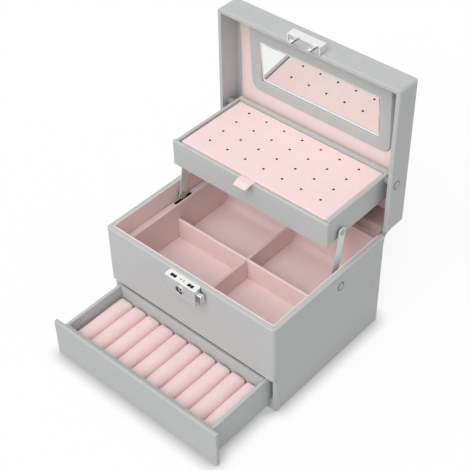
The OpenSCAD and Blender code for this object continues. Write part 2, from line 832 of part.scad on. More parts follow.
module tray_screws() {
    head_h = 1;
    color(chrome) both_sides() at_pivot(tray_pivot) {
        pin_x(screw_in, arm_out + fit_gap + head_h / 2, pin_r);
        dome_x(arm_out + fit_gap, washer_r, head_h);
    }
}

module tray_washers() {
    color(steel) both_sides() at_pivot(tray_pivot)
        ring_x(tray_x, tray_x + washer_l, washer_r, pin_r + fit_gap);
}

module earring_panel() {
    soft_r = 1;
    hole_x = -(hole_cols - 1) / 2 * hole_pitch_x;
    hole_y = tray_y + hole_first;
    color(velvet) difference() {
        translate([0, (panel_y + panel_back) / 2, panel_under])
            covered_block(2 * panel_x, panel_back - panel_y, panel_t, soft_r + fit_gap, soft_r);
        for (i = [0:hole_cols - 1], j = [0:hole_rows - 1])
            translate([hole_x + i * hole_pitch_x, hole_y + j * hole_pitch_y, panel_under - over])
                cylinder(h = panel_t + 2 * over, r = hole_r);
    }
}

// The ribbon comes up along the panel's front edge, lies over the tray's front and droops past it
module ribbon_tab() {
    lift = tray_z + tray_h + soft_gap;
    root_y = panel_y - tray_y;
    droop = 1.6;
    end_r = 2.5;
    color(velvet) intersection() {
        translate([-ribbon_w / 2, tray_y, 0]) rotate([90, 0, 90]) linear_extrude(ribbon_w) {
            translate([root_y - ribbon_t, panel_under + ribbon_t]) square([ribbon_t, lift - panel_under]);
            translate([0, lift]) square([root_y, ribbon_t]);
            polygon([
                for (s = [0:0.2:1]) [-s * ribbon_l, lift - droop * s * s],
                for (s = [1:-0.2:0]) [-s * ribbon_l, lift + ribbon_t - droop * s * s]
            ]);
        }
        translate([0, tray_y + (root_y - ribbon_l) / 2 + end_r, panel_under])
            linear_extrude(lift + 2 * ribbon_t - panel_under)
                rounded_rect(ribbon_w, root_y + ribbon_l + 2 * end_r, end_r);
    }
}

module drawer_front() {
    front_h = bay_h - drawer_top_gap - floor_gap;
    color(leatherette) translate([0, drawer_y + drawer_front_t / 2, floor_gap])
        covered_block(case_w, drawer_front_t, front_h, edge_r, edge_r);
}

module drawer_box() {
    color(shaded_leatherette) difference() {
        translate([-drawer_w / 2, drawer_box_y, drawer_z])
            cube([drawer_w, drawer_back - drawer_box_y, drawer_h]);
        translate([-drawer_in_x, drawer_in_y, drawer_floor])
            cube([2 * drawer_in_x, drawer_back - drawer_wall - drawer_in_y, drawer_h]);
    }
}

module drawer_cross_wall() {
    color(shaded_leatherette) translate([-drawer_in_x, cross_y, drawer_floor])
        cube([2 * drawer_in_x, cross_t, drawer_z + drawer_h - drawer_floor]);
}

module drawer_rear_pad() {
    pad_y = cross_y + cross_t;
    color(velvet) translate([-drawer_in_x, pad_y, drawer_floor])
        cube([2 * drawer_in_x, drawer_back - drawer_wall - pad_y, floor_pad_t]);
}

module ring_roll_card() {
    color(deep_velvet) translate([-drawer_in_x, drawer_in_y, drawer_floor])
        cube([2 * drawer_in_x, roll_bay_l, roll_card_t]);
}

// One padded roll: a crowned strip on the card, with its ends rounded off
module ring_roll(i) {
    roll_x = -drawer_in_x + (i - 0.5) * roll_pitch;
    roll_z = drawer_floor + roll_card_t;
    body_h = roll_h - roll_card_t;
    top_r = roll_w / 2;
    color(velvet) translate([roll_x, drawer_in_y + roll_bay_l / 2, roll_z]) intersection() {
        translate([0, roll_len / 2, 0]) rotate([90, 0, 0]) linear_extrude(roll_len) {
            translate([0, body_h - top_r]) circle(top_r);
            translate([-top_r, roll_foot_r]) square([roll_w, body_h - top_r - roll_foot_r]);
            translate([-top_r + roll_foot_r, 0]) square([roll_w - 2 * roll_foot_r, 2 * roll_foot_r]);
            for (side = [-1, 1]) translate([side * (top_r - roll_foot_r), roll_foot_r]) circle(roll_foot_r);
        }
        translate([-roll_w, 0, 0]) rotate([90, 0, 90]) linear_extrude(2 * roll_w) {
            translate([-roll_len / 2, 0]) square([roll_len, body_h - roll_end_r]);
            translate([-roll_len / 2 + roll_end_r, 0]) square([roll_len - 2 * roll_end_r, body_h]);
            for (side = [-1, 1])
                translate([side * (roll_len / 2 - roll_end_r), body_h - roll_end_r]) circle(roll_end_r);
        }
    }
}

case_shell();
base_board();
middle_board();
case_lining();
floor_pad();
left_ledge();
right_ledge();
long_divider();
cross_divider();
drawer_guides();
case_rivets();
case_spacers();
hinge_case_leaf();
hinge_pin();
lock_housing();
lock_top_plate();
key_rosette();
key_cylinder();
push_button();
latch_bar();
lid_shell();
lid_pad();
lid_rear_lining();
mirror_frame();
mirror_backing();
mirror_glass();
hinge_lid_leaf();
hasp_cover();
hasp_prongs();
lid_rivets();
lid_spacers();
left_arm();
right_arm();
tray_box();
tray_front();
tray_lining();
tray_screws();
tray_washers();
earring_panel();
ribbon_tab();
drawer_front();
drawer_box();
drawer_cross_wall();
drawer_rear_pad();
ring_roll_card();
ring_roll(1);  // ring_roll_1
ring_roll(2);  // ring_roll_2
ring_roll(3);  // ring_roll_3
ring_roll(4);  // ring_roll_4
ring_roll(5);  // ring_roll_5
ring_roll(6);  // ring_roll_6
ring_roll(7);  // ring_roll_7
ring_roll(8);  // ring_roll_8
ring_roll(9);  // ring_roll_9
ring_roll(10);  // ring_roll_10
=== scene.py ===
import math

import bmesh
import bpy
import numpy as np
from mathutils import Matrix, Vector


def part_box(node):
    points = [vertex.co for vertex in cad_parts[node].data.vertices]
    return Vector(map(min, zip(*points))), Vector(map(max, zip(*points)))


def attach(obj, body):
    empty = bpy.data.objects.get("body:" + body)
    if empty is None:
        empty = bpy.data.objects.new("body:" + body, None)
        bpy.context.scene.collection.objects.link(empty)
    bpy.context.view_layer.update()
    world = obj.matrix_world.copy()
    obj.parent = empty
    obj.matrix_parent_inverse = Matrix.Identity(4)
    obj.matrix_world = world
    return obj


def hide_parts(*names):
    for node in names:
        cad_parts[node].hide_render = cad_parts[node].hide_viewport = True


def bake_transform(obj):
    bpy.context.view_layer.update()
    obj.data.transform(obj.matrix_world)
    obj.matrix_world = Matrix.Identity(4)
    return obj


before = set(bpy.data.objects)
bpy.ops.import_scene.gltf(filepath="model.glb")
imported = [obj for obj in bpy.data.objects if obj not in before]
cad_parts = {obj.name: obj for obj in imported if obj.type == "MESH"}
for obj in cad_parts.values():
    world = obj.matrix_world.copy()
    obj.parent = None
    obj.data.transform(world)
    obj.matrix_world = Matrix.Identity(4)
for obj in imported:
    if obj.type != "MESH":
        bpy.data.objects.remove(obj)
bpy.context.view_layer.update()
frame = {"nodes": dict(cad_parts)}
cadNode = frame["nodes"]
mm = 0.001
mergeWithin = 1e-6  # points closer together than this are one
fourCorners = ((-1, -1), (1, -1), (1, 1), (-1, 1))
print("frame loaded")


def hexColour(code):
    channels = [int(code[i:i + 2], 16) / 255 for i in (1, 3, 5)]
    return (*[c / 12.92 if c <= 0.04045 else ((c + 0.055) / 1.055) ** 2.4 for c in channels], 1)


def addNode(tree, kind, settings=None, inputs=None, links=None):
    made = tree.nodes.new(kind)
    for name, value in (settings or {}).items():
        setattr(made, name, value)
    for socket, value in (inputs or {}).items():
        made.inputs[socket].default_value = value
    for socket, source in (links or {}).items():  # a node stands for its first output
        tree.links.new(getattr(source, "outputs", [source])[0], made.inputs[socket])
    return made


def nodeBox(node):
    low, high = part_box(node)
    return {"x0": low.x, "x1": high.x, "y0": low.y, "y1": high.y, "z0": low.z, "z1": high.z}


def spanOf(box, axis):
    return box[axis + "1"] - box[axis + "0"]


def middleOf(box, axis):
    return (box[axis + "0"] + box[axis + "1"]) / 2


def linked(name, data):
    made = bpy.data.objects.new(name, data)
    bpy.context.scene.collection.objects.link(made)
    return made


def copied(name, node):
    return linked(name, cadNode[node].data.copy())


def meshPiece(name, points, faces):
    mesh = bpy.data.meshes.new(name)
    mesh.from_pydata([tuple(p) for p in points], [], [tuple(f) for f in faces])
    mesh.validate()
    return linked(name, mesh)


def ringFaces(near, far, count):
    # Quads between two closed rings of points, from their first points' numbers
    pairs = [(k, (k + 1) % count) for k in range(count)]
    return [(near + a, near + b, far + b, far + a) for a, b in pairs]


def sheetFaces(rows, columns):
    # Quads between rows of points that follow each other
    return [(k, k + 1, k + columns + 1, k + columns)
            for i in range(rows - 1) for k in range(i * columns, (i + 1) * columns - 1)]


def outward(piece):
    bm = bmesh.new()
    bm.from_mesh(piece.data)
    bmesh.ops.remove_doubles(bm, verts=bm.verts, dist=mergeWithin)
    bmesh.ops.recalc_face_normals(bm, faces=bm.faces)
    bm.to_mesh(piece.data)
    bm.free()
    return piece


def smooth(piece, sharpest):
    piece.data.shade_smooth()
    piece.data.set_sharp_from_angle(angle=math.radians(sharpest))
    return piece


def applied(piece):
    # The evaluated mesh takes the place of the live modifiers
    graph = bpy.context.evaluated_depsgraph_get()
    mesh = bpy.data.meshes.new_from_object(piece.evaluated_get(graph))
    piece.modifiers.clear()
    piece.data = mesh
    return piece


def thickened(piece, thickness):
    # A sheet gets half its thickness on either side
    thick = piece.modifiers.new("thickness", "SOLIDIFY")
    thick.thickness, thick.offset = thickness, 0
    return smooth(outward(applied(piece)), 60)


def painted(piece, material):
    piece.data.materials.clear()
    piece.data.materials.append(material)
    return piece


def fitted(piece, body, slot, *stoodFor):
    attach(piece, body)
    if stoodFor:
        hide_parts(*stoodFor)
    return piece


def finished(piece, body, material, slot, *stoodFor):
    return fitted(painted(piece, material), body, slot, *stoodFor)


def paintFaces(piece, material, chosen):
    piece.data.materials.append(material)
    for face in piece.data.polygons:
        if chosen(face):
            face.material_index = len(piece.data.materials) - 1


def emptyTree(owner):
    owner.use_nodes = True
    owner.node_tree.nodes.clear()
    return owner.node_tree


def newMaterial(name):
    material = bpy.data.materials.new(name)
    tree = emptyTree(material)
    return material, tree, addNode(tree, "ShaderNodeTexCoord").outputs["Object"]


def shaded(tree, even, varied):
    # Values that are the same all over the surface, and links to what varies over it
    shader = addNode(tree, "ShaderNodeBsdfPrincipled", inputs=even, links=varied)
    addNode(tree, "ShaderNodeOutputMaterial", links={"Surface": shader})


def patterned(tree, pattern, relief, even, varied=None):
    # The colour runs from one to the other as the pattern does, and the relief follows its height
    (share, low, high), (height, strength, depth) = pattern, relief
    colour = addNode(tree, "ShaderNodeMix", {"data_type": "RGBA"}, {
        "A": hexColour(low), "B": hexColour(high)}, {"Factor": share}).outputs["Result"]
    bump = addNode(tree, "ShaderNodeBump", links={"Height": height}, inputs={
        "Strength": strength, "Distance": depth})
    shaded(tree, even, {"Base Color": colour, "Normal": bump, **(varied or {})})


leatheretteLook = {
    "grainSize": 1.2 * mm, "grainDepth": 0.05 * mm,  # a pebble's width and height
    "uneven": 0.0006,  # how far the pebbles stray from even cells
    "creaseEdge": 0.22,  # where a crease ends and a pebble's face begins
    "pebbleTone": 0.75,
    "mottleSize": 22 * mm,  # slow change of tone over a panel
    "mottleTone": 0.4,
    "creaseRougher": 0.12,
    "faceSmoother": 0.04,
}


def leatherette(name, crease, face, rough=0.5):
    # PU leatherette, embossed with a fine pebble grain and lacquered: an even grey with a soft,
    # broken shine and slightly darker creases
    look = leatheretteLook
    material, tree, place = newMaterial(name)
    warp = addNode(tree, "ShaderNodeTexNoise", inputs={"Scale": 0.5 / look["grainSize"]},
                   links={"Vector": place})
    moved = addNode(tree, "ShaderNodeMix", {"data_type": "VECTOR"}, {"Factor": look["uneven"]},
                    {"A": place, "B": warp.outputs["Color"]})
    grain = addNode(tree, "ShaderNodeTexVoronoi", {"feature": "DISTANCE_TO_EDGE"},
                    {"Scale": 1 / look["grainSize"]}, {"Vector": moved.outputs["Result"]})
    pebble = addNode(tree, "ShaderNodeMapRange", {"interpolation_type": "SMOOTHSTEP"},
                     {"From Max": look["creaseEdge"]}, {"Value": grain})
    mottle = addNode(tree, "ShaderNodeTexNoise", inputs={"Scale": 1 / look["mottleSize"]},
                     links={"Vector": place})
    tone = addNode(tree, "ShaderNodeMath", {"operation": "MULTIPLY"}, {1: look["pebbleTone"]},
                   {0: pebble})
    tone = addNode(tree, "ShaderNodeMath", {"operation": "MULTIPLY_ADD"}, {1: look["mottleTone"]},
                   {0: mottle, 2: tone})
    shine = addNode(tree, "ShaderNodeMapRange", links={"Value": pebble}, inputs={
        "To Min": rough + look["creaseRougher"], "To Max": rough - look["faceSmoother"]})
    patterned(tree, (tone, crease, face), (pebble, 0.2, look["grainDepth"]),
              {"Specular IOR Level": 0.35}, {"Roughness": shine})
    return material


velvetLook = {
    "pileSize": 0.6 * mm,  # tufts; the real pile is finer, and is drawn as coarse as it shows
    "pileDepth": 0.08 * mm,
    "pileTone": 0.5,
    "napSize": 16 * mm,  # patches where the pile lies another way
    "napTone": 0.6,
    "napShift": -0.05,
    "sheenColour": "#FBE3E0",
}


def velvet(name, low, high, sheen=0.35):
    # Short-pile polyester velvet: matt, with a pale sheen at grazing angles and a faint uneven nap.
    # Without sheen, the same nodes give matt board, nylon, and the dark painted shadow round the
    # rivets and the lock
    look = velvetLook
    material, tree, place = newMaterial(name)
    nap = addNode(tree, "ShaderNodeTexNoise", inputs={"Scale": 1 / look["napSize"], "Detail": 3},
                  links={"Vector": place})
    pile = addNode(tree, "ShaderNodeTexNoise", inputs={"Scale": 1 / look["pileSize"], "Detail": 2},
                   links={"Vector": place})
    share = addNode(tree, "ShaderNodeMath", {"operation": "MULTIPLY_ADD"},
                    {1: look["napTone"], 2: look["napShift"]}, {0: nap})
    share = addNode(tree, "ShaderNodeMath", {"operation": "MULTIPLY_ADD", "use_clamp": True},
                    {1: look["pileTone"]}, {0: pile, 2: share})
    patterned(tree, (share, low, high), (pile, 0.5, look["pileDepth"]), {
        "Roughness": 0.95, "Specular IOR Level": 0.15, "Sheen Weight": sheen,
        "Sheen Roughness": 0.45, "Sheen Tint": hexColour(look["sheenColour"])})
    return material


def plated(name, colour, low, high, smudge=9 * mm):
    # Metal with a soft haze that changes slowly over it, as handled plating has
    material, tree, place = newMaterial(name)
    haze = addNode(tree, "ShaderNodeTexNoise", inputs={"Scale": 1 / smudge, "Detail": 4},
                   links={"Vector": place})
    rough = addNode(tree, "ShaderNodeMapRange", inputs={"To Min": low, "To Max": high},
                    links={"Value": haze})
    shaded(tree, {"Base Color": hexColour(colour), "Metallic": 1}, {"Roughness": rough})
    return material


brushedLook = {
    "lineWidth": 0.35 * mm,  # the real rolling lines are finer, and are drawn to show
    "lineStretch": 60,  # times as long as wide
    "lineDepth": 0.02 * mm,
    "rough": (0.28, 0.42),
}


def brushed(name, low, high, along, metal=1):
    # Nickel-plated strip steel with rolling lines along it
    material, tree, place = newMaterial(name)
    line, (smoothest, roughest) = brushedLook["lineWidth"], brushedLook["rough"]
    stretch = [1 / line if axis != along else 1 / (brushedLook["lineStretch"] * line)
               for axis in "xyz"]
    drawn = addNode(tree, "ShaderNodeMapping", inputs={"Scale": stretch}, links={"Vector": place})
    lines = addNode(tree, "ShaderNodeTexNoise", inputs={"Scale": 1, "Detail": 3},
                    links={"Vector": drawn})
    rough = addNode(tree, "ShaderNodeMapRange", inputs={"To Min": smoothest, "To Max": roughest},
                    links={"Value": lines})
    patterned(tree, (lines, low, high), (lines, 0.15, brushedLook["lineDepth"]),
              {"Metallic": metal}, {"Roughness": rough})
    return material


ribbonLook = {"ribWidth": 0.35 * mm, "ribDepth": 0.05 * mm}


def ribbonSatin(name, low, high):
    # Grosgrain ribbon, woven: fine ribs across it, which lie along the box's width
    material, tree, place = newMaterial(name)
    ribs = addNode(tree, "ShaderNodeTexWave", {"bands_direction": "Y"}, {
        "Scale": 1 / (ribbonLook["ribWidth"] * 20), "Distortion": 0.4, "Detail Scale": 60},
        {"Vector": place}).outputs["Fac"]
    patterned(tree, (ribs, low, high), (ribs, 0.4, ribbonLook["ribDepth"]),
              {"Roughness": 0.55, "Sheen Weight": 0.3})
    return material


greyLeatherette = leatherette("PU leatherette, embossed and lacquered", "#BABCBC", "#C5C7C7")
drawerLeatherette = leatherette("PU leatherette on the drawer's front", "#B4B6B6", "#BFC1C1")
boardLeatherette = leatherette("PU leatherette on the drawer and inner boards", "#B9BCBC",
                               "#C4C7C7", 0.55)
pinkVelvet = velvet("Velvet, short pile", "#EAD3D0", "#F6E3E0")
panelVelvet = velvet("Velvet on the padded panel", "#F4D9D5", "#FDE4E0")
rollVelvet = velvet("Velvet on the ring rolls", "#EFD2CF", "#FFE7E4", 0.4)
# a darker copy of the pink velvet for the left ledge and cross divider: painted shade on faces
# turned from the light
shadedDividerVelvet = velvet("Velvet on the left ledge and cross divider", "#E0C8C4", "#EDD7D3", 0.25)
# a darker copy of the velvet for the hinge cloth and the lid's rear lining: painted shade for the
# corner behind the tray
hingeShadeVelvet = velvet("Velvet along the hinge, darkened as painted shade", "#B0938F", "#BEA39E", 0.1)
satinChrome = plated("Chromium plate, satin, on pressed steel", "#DCE6E7", 0.38, 0.5)
paleChrome = plated("Chromium plate, satin, on the hasp", "#EBECEC", 0.3, 0.42)
ringChrome = plated("Chromium plate, satin, on the key's ring", "#CDD1D1", 0.38, 0.5)
brightChrome = plated("Chromium plate, bright, on the lock's top", "#F4F4F2", 0.16, 0.28)
rivetSteel = plated("Nickel plate on rivets and screws", "#A2A4A6", 0.25, 0.38, 2 * mm)
# blackened steel on the hinge pin; the same dark is painted shade in the button's grooves, the
# keyway and the prongs' sides
blackenedSteelAndShade = plated("Steel, blackened", "#5C5E60", 0.3, 0.45, 3 * mm)
armSteel = brushed("Nickel plate under matt lacquer, on strip steel", "#C6C9C9", "#E0E3E3", "z",
                   metal=0.5)
hingeSteel = brushed("Nickel plate on the hinge", "#B4B6B7", "#D0D2D3", "x")
silvered = plated("Silvered float glass", "#F1F3F2", 0.01, 0.03, 40 * mm)
# dark painted shadow round the rivets' heads and beside the lock
paintedShadowEdge = velvet("Painted shadow round the rivets and beside the lock", "#55575A", "#626466", 0)
cutEdge = velvet("Pasteboard, punched edge, darkened as painted shade", "#4C3B39", "#5C4947", 0)
nylon = velvet("Nylon, grey, matt", "#8F8D8C", "#999796", 0)
card = velvet("Grey pasteboard", "#9C9A99", "#AAA8A7", 0)
ribbonWeave = ribbonSatin("Grosgrain ribbon, woven", "#F2D8D4", "#F8E0DC")

carriedOver = {
    greyLeatherette: ["case_shell", "lid_shell", "tray_box", "tray_front"],
    drawerLeatherette: ["drawer_front"],
    boardLeatherette: ["middle_board", "base_board", "drawer_guides", "drawer_box",
                       "drawer_cross_wall", "mirror_frame"],
    paleChrome: ["hasp_cover"],
    satinChrome: ["lock_housing", "push_button", "key_rosette", "key_cylinder"],
    brightChrome: ["lock_top_plate"],
    rivetSteel: ["case_rivets", "lid_rivets", "tray_screws", "case_spacers", "tray_washers"],
    hingeSteel: ["hinge_case_leaf", "hinge_lid_leaf", "hasp_prongs", "latch_bar"],
    armSteel: ["left_arm", "right_arm"],
    blackenedSteelAndShade: ["hinge_pin"],
    nylon: ["lid_spacers"],
    card: ["mirror_backing"],
    silvered: ["mirror_glass"],
}
for material, names in ((pinkVelvet, cadNode), *carriedOver.items()):  # pink where none is named
    for name in names:
        painted(cadNode[name], material)
print("materials made")


def spaced(low, high, rim, step):
    # Places across a width, closer together where the rims are rounded
    turn = rim * (1 - np.cos(np.linspace(0, math.pi / 2, 6)))[:-1]
    middle = np.linspace(low + rim, high - rim, max(2, round((high - low - 2 * rim) / step) + 1))
    return np.concatenate([low + turn, middle, (high - turn)[::-1]])


def paddedBoard(name, box, rim, crown, step, rise=None):
    # A velvet-covered board that lies level: rounded rims, a low crown, and a flat underside
    xs, ys = (spaced(box[a + "0"], box[a + "1"], rim, step) for a in "xy")
    x, y = np.meshgrid(xs, ys, indexing="ij")
    a = np.maximum(0, rim - np.minimum(x - xs[0], xs[-1] - x))
    b = np.maximum(0, rim - np.minimum(y - ys[0], ys[-1] - y))
    s = (2 * x - xs[0] - xs[-1]) / (xs[-1] - xs[0])
    t = (2 * y - ys[0] - ys[-1]) / (ys[-1] - ys[0])
    top = box["z1"] - rim + np.sqrt(np.maximum(0, rim * rim - a * a - b * b))
    top = top + crown * (1 - s ** 2) * (1 - t ** 2) + (rise(x, y) if rise else 0)
    low = np.full_like(top, box["z0"])
    points = np.concatenate([np.stack([x, y, z], -1).reshape(-1, 3) for z in (top, low)])
    nx, ny = x.shape
    under = nx * ny
    faces = []
    for i in range(nx - 1):
        for j in range(ny - 1):
            k = i * ny + j
            faces.append((k, k + ny, k + ny + 1, k + 1))
            faces.append((under + k, under + k + 1, under + k + ny + 1, under + k + ny))
    rimWalk = [i * ny for i in range(nx)] + [(nx - 1) * ny + j for j in range(1, ny)]
    rimWalk += [i * ny + ny - 1 for i in range(nx - 2, -1, -1)] + list(range(ny - 2, 0, -1))
    for k, m in zip(rimWalk, rimWalk[1:] + rimWalk[:1]):
        faces.append((k, under + k, under + m, m))
    return smooth(outward(meshPiece(name, points, faces)), 60)


ringRolls = {
    "count": 10,
    "slack": 0.35 * mm,  # the cloth starts this much inside its place, and swells into it
    "voxel": 1.5 * mm,
    "pressure": 4,
    "frames": 20,
    "cap": 0.45 * mm,  # the most that it may swell
    "wander": 0.12 * mm,  # how unevenly the filling lies
    "seed": 7,
}


def puffed(piece, filling):
    # The cloth swells over its filling, by at most the cap
    rest = np.array([v.co for v in piece.data.vertices])
    cloth = piece.modifiers.new("cloth", "CLOTH")
    cloth.settings.use_pressure = True
    cloth.settings.uniform_pressure_force = filling["pressure"]
    cloth.settings.effector_weights.gravity = 0
    cloth.collision_settings.use_collision = False
    cloth.point_cache.frame_end = filling["frames"]
    scene = bpy.context.scene
    for number in range(1, filling["frames"] + 1):
        scene.frame_set(number)
    graph = bpy.context.evaluated_depsgraph_get()
    swollen = np.array([v.co for v in piece.evaluated_get(graph).data.vertices])
    piece.modifiers.clear()
    move = swollen - rest
    length = np.linalg.norm(move, axis=1, keepdims=True)
    move *= np.minimum(1, filling["cap"] / np.maximum(length, 1e-9))
    piece.data.vertices.foreach_set("co", (rest + move).astype(np.float32).ravel())
    piece.data.update()
    scene.frame_set(1)
    return piece


first = outward(copied("rollPattern", "ring_roll_1"))
roll = nodeBox("ring_roll_1")
middle = Vector((middleOf(roll, "x"), middleOf(roll, "y"), roll["z0"]))
shrink = [1 - sides * ringRolls["slack"] / spanOf(roll, a) for a, sides in zip("xyz", (2, 2, 1))]
first.data.transform(Matrix.Diagonal((*shrink, 1)) @ Matrix.Translation(-middle))
remesh = first.modifiers.new("voxels", "REMESH")
remesh.mode, remesh.voxel_size = "VOXEL", ringRolls["voxel"]
puffed(applied(first), ringRolls)
subdivide = first.modifiers.new("rounder", "SUBSURF")
subdivide.levels = subdivide.render_levels = 1
applied(first)
pattern = np.array([v.co for v in first.data.vertices])
pattern[:, 2] = np.maximum(pattern[:, 2], 0)  # flat where it lies on its card
along, high = pattern[:, 1] / spanOf(roll, "y") * 2 * math.pi, pattern[:, 2] / spanOf(roll, "z")
chance = np.random.default_rng(ringRolls["seed"])
for number in range(1, ringRolls["count"] + 1):
    node = f"ring_roll_{number}"
    phase, lean, plump = (chance.uniform(0, 2 * math.pi, 3), chance.uniform(-1, 1),
                          chance.uniform(-1, 1))
    wander = ringRolls["wander"] * high
    points = pattern.copy()
    points[:, 0] += wander * (np.sin(along + phase[0]) + 0.5 * lean * along / math.pi)
    points[:, 2] += wander * (np.sin(1.5 * along + phase[1]) + 2 * plump)
    points += [middleOf(nodeBox(node), "x"), middle.y, middle.z]
    piece = linked(f"ringRoll{number}", first.data.copy())
    piece.data.vertices.foreach_set("co", points.astype(np.float32).ravel())
    finished(smooth(piece, 60), "drawer", rollVelvet, "velvet", node)
bpy.data.objects.remove(first)
print("ring rolls filled")

rollCard = {"rim": 0.4 * mm, "crown": 0.2 * mm, "step": 8 * mm}
piece = paddedBoard("ringRollCard", nodeBox("ring_roll_card"), **rollCard)
finished(piece, "drawer", rollVelvet, "velvet", "ring_roll_card")
rearPad = {"rim": 0.6 * mm, "crown": 0.7 * mm, "step": 5 * mm}
piece = paddedBoard("drawerRearPad", nodeBox("drawer_rear_pad"), **rearPad)
finished(piece, "drawer", pinkVelvet, "velvet", "drawer_rear_pad")

floorPad = {
    "rim": 0.6 * mm,
    "plump": 0.5 * mm,  # how far each compartment's pad stands up in its middle
    "pressed": 0.2 * mm,  # how far its edges are pressed down
    "step": 2.5 * mm,
    "coveRise": 4 * mm,  # at the rear wall the velvet turns up in a cove
    "coveReach": 7 * mm,
}
pad, halfway = nodeBox("floor_pad"), middleOf(nodeBox("long_divider"), "y")


def fourCells(x, y):
    # Each compartment's pad swells between the walls and the dividers
    deep = np.where(y < halfway, (y - pad["y0"]) / (halfway - pad["y0"]),
                    (pad["y1"] - y) / (pad["y1"] - halfway))
    wide = np.abs(x) / pad["x1"]
    cove = np.clip((y - pad["y1"]) / floorPad["coveReach"] + 1, 0, 1)
    return (floorPad["plump"] * (np.sin(math.pi * deep) * np.sin(math.pi * wide)) ** 0.5
            - floorPad["pressed"] + floorPad["coveRise"] * cove ** 2)


piece = paddedBoard("floorPad", pad, floorPad["rim"], 0, floorPad["step"], fourCells)
finished(piece, "case", pinkVelvet, "velvet", "floor_pad")

# The earring panel: a padded board, then its punched holes, each in a small dimple. The holes'
# walls are the board's cut edge, darkened further as painted shade
earringPanel = {
    "rim": 1.3 * mm,
    "inset": 0.45 * mm,  # the gap that shows as a dark line inside the tray's rims
    "crown": 0.5 * mm,
    "step": 1.3 * mm,
    "columns": 7, "pitchAcross": 18.7 * mm,
    "rows": 4, "pitchBack": 15.85 * mm,
    "firstRow": 16 * mm,  # from the panel's front edge
    "holeRadius": 1.05 * mm,
    "dimpleRadius": 2.6 * mm,
    "dimpleDepth": 0.35 * mm,
    "punchLength": 30 * mm,  # long enough to go right through
}
box, inset = nodeBox("earring_panel"), earringPanel["inset"]
drawnIn = {**box, "x0": box["x0"] + inset, "x1": box["x1"] - inset, "y0": box["y0"] + inset}
piece = paddedBoard("earringPanel", drawnIn, earringPanel["rim"], earringPanel["crown"],
                    earringPanel["step"])
rowsBack = earringPanel["pitchBack"] * (earringPanel["rows"] - 1)


def treeWithInputs(name, inputs):
    tree = bpy.data.node_groups.new(name, "GeometryNodeTree")
    for way in ("INPUT", "OUTPUT"):
        tree.interface.new_socket("Geometry", in_out=way, socket_type="NodeSocketGeometry")
    for kind, labels in inputs.items():
        for label in labels.split():
            tree.interface.new_socket(label, in_out="INPUT", socket_type="NodeSocket" + kind)
    given = tree.nodes.new("NodeGroupInput")
    made = tree.nodes.new("NodeGroupOutput")
    return tree, given.outputs, made.inputs


def grown(piece, tree, values):
    # Runs the tree on the piece with its named inputs, and keeps the plain mesh
    run = piece.modifiers.new(tree.name, "NODES")
    run.node_group = tree
    for item in tree.interface.items_tree:
        if item.in_out == "INPUT" and item.name in values:
            run[item.identifier] = values[item.name]
    return applied(piece)


tree, given, made = treeWithInputs("punchedHoles", {
    "Int": "columns rows", "Vector": "centre", "Material": "velvet cutEdge",
    "Float": "width depth holeRadius dimpleRadius dimpleDepth punchLength"})
grid = addNode(tree, "GeometryNodeMeshGrid", links={
    "Size X": given["width"], "Size Y": given["depth"], "Vertices X": given["columns"],
    "Vertices Y": given["rows"]})
grid = addNode(tree, "GeometryNodeSetPosition", links={"Geometry": grid, "Offset": given["centre"]})
spots = addNode(tree, "GeometryNodeMeshToPoints", links={"Mesh": grid})
near = addNode(tree, "GeometryNodeProximity", {"target_element": "POINTS"}, links={0: spots})
dip = addNode(tree, "ShaderNodeMapRange", {"interpolation_type": "SMOOTHSTEP"},
              {"To Min": 1, "To Max": 0},
              {"Value": near.outputs["Distance"], "From Max": given["dimpleRadius"]})
dip = addNode(tree, "ShaderNodeMath", {"operation": "MULTIPLY"}, links={
    0: dip, 1: given["dimpleDepth"]})
sink = addNode(tree, "ShaderNodeMath", {"operation": "MULTIPLY"}, {1: -1}, {0: dip})
down = addNode(tree, "ShaderNodeCombineXYZ", links={"Z": sink})
soft = addNode(tree, "GeometryNodeSetPosition", links={
    "Geometry": given["Geometry"], "Offset": down})
soft = addNode(tree, "GeometryNodeSetMaterial", links={
    "Geometry": soft, "Material": given["velvet"]})
punch = addNode(tree, "GeometryNodeMeshCylinder", inputs={"Vertices": 20}, links={
    "Radius": given["holeRadius"], "Depth": given["punchLength"]})
punch = addNode(tree, "GeometryNodeSetMaterial", links={
    "Geometry": punch, "Material": given["cutEdge"]})
punches = addNode(tree, "GeometryNodeInstanceOnPoints", links={"Points": spots, "Instance": punch})
punches = addNode(tree, "GeometryNodeRealizeInstances", links={"Geometry": punches})
cut = addNode(tree, "GeometryNodeMeshBoolean", {"operation": "DIFFERENCE", "solver": "EXACT"},
              links={"Mesh 1": soft, "Mesh 2": punches})
tree.links.new(cut.outputs[0], made["Geometry"])
grown(piece, tree, {
    **earringPanel, "velvet": panelVelvet, "cutEdge": cutEdge,
    "width": earringPanel["pitchAcross"] * (earringPanel["columns"] - 1), "depth": rowsBack,
    "centre": (0, box["y0"] + earringPanel["firstRow"] + rowsBack / 2,
               box["z1"] + earringPanel["crown"] / 2)})
fitted(smooth(piece, 50), "earring_panel", "velvet", "earring_panel")
print("pads laid and earring panel punched")

# The lid's padded lining: a ring round the mirror's frame that swells between its edges
lidPad = {
    "corner": 3.5 * mm,  # the lining's own corners, drawn in a little
    "frameCorner": 8 * mm,  # the mirror frame's corners
    "straight": 36, "turn": 8,  # points along each side, and round each corner
    "across": 14,
    "gap": 0.1 * mm,
    "rim": 1.0 * mm,
    "board": 0.7 * mm,  # the covered board's rounded edge, and what it keeps at its thinnest
    "edge": 0.15 * mm,
    "plump": 1.3 * mm,
    "coveRise": 4.5 * mm,  # towards the lid's front wall the wadding turns up in a cove
    "coveReach": 16 * mm,
    "waist": 5 * mm,  # how far the cloth draws the left side in between its corners
}


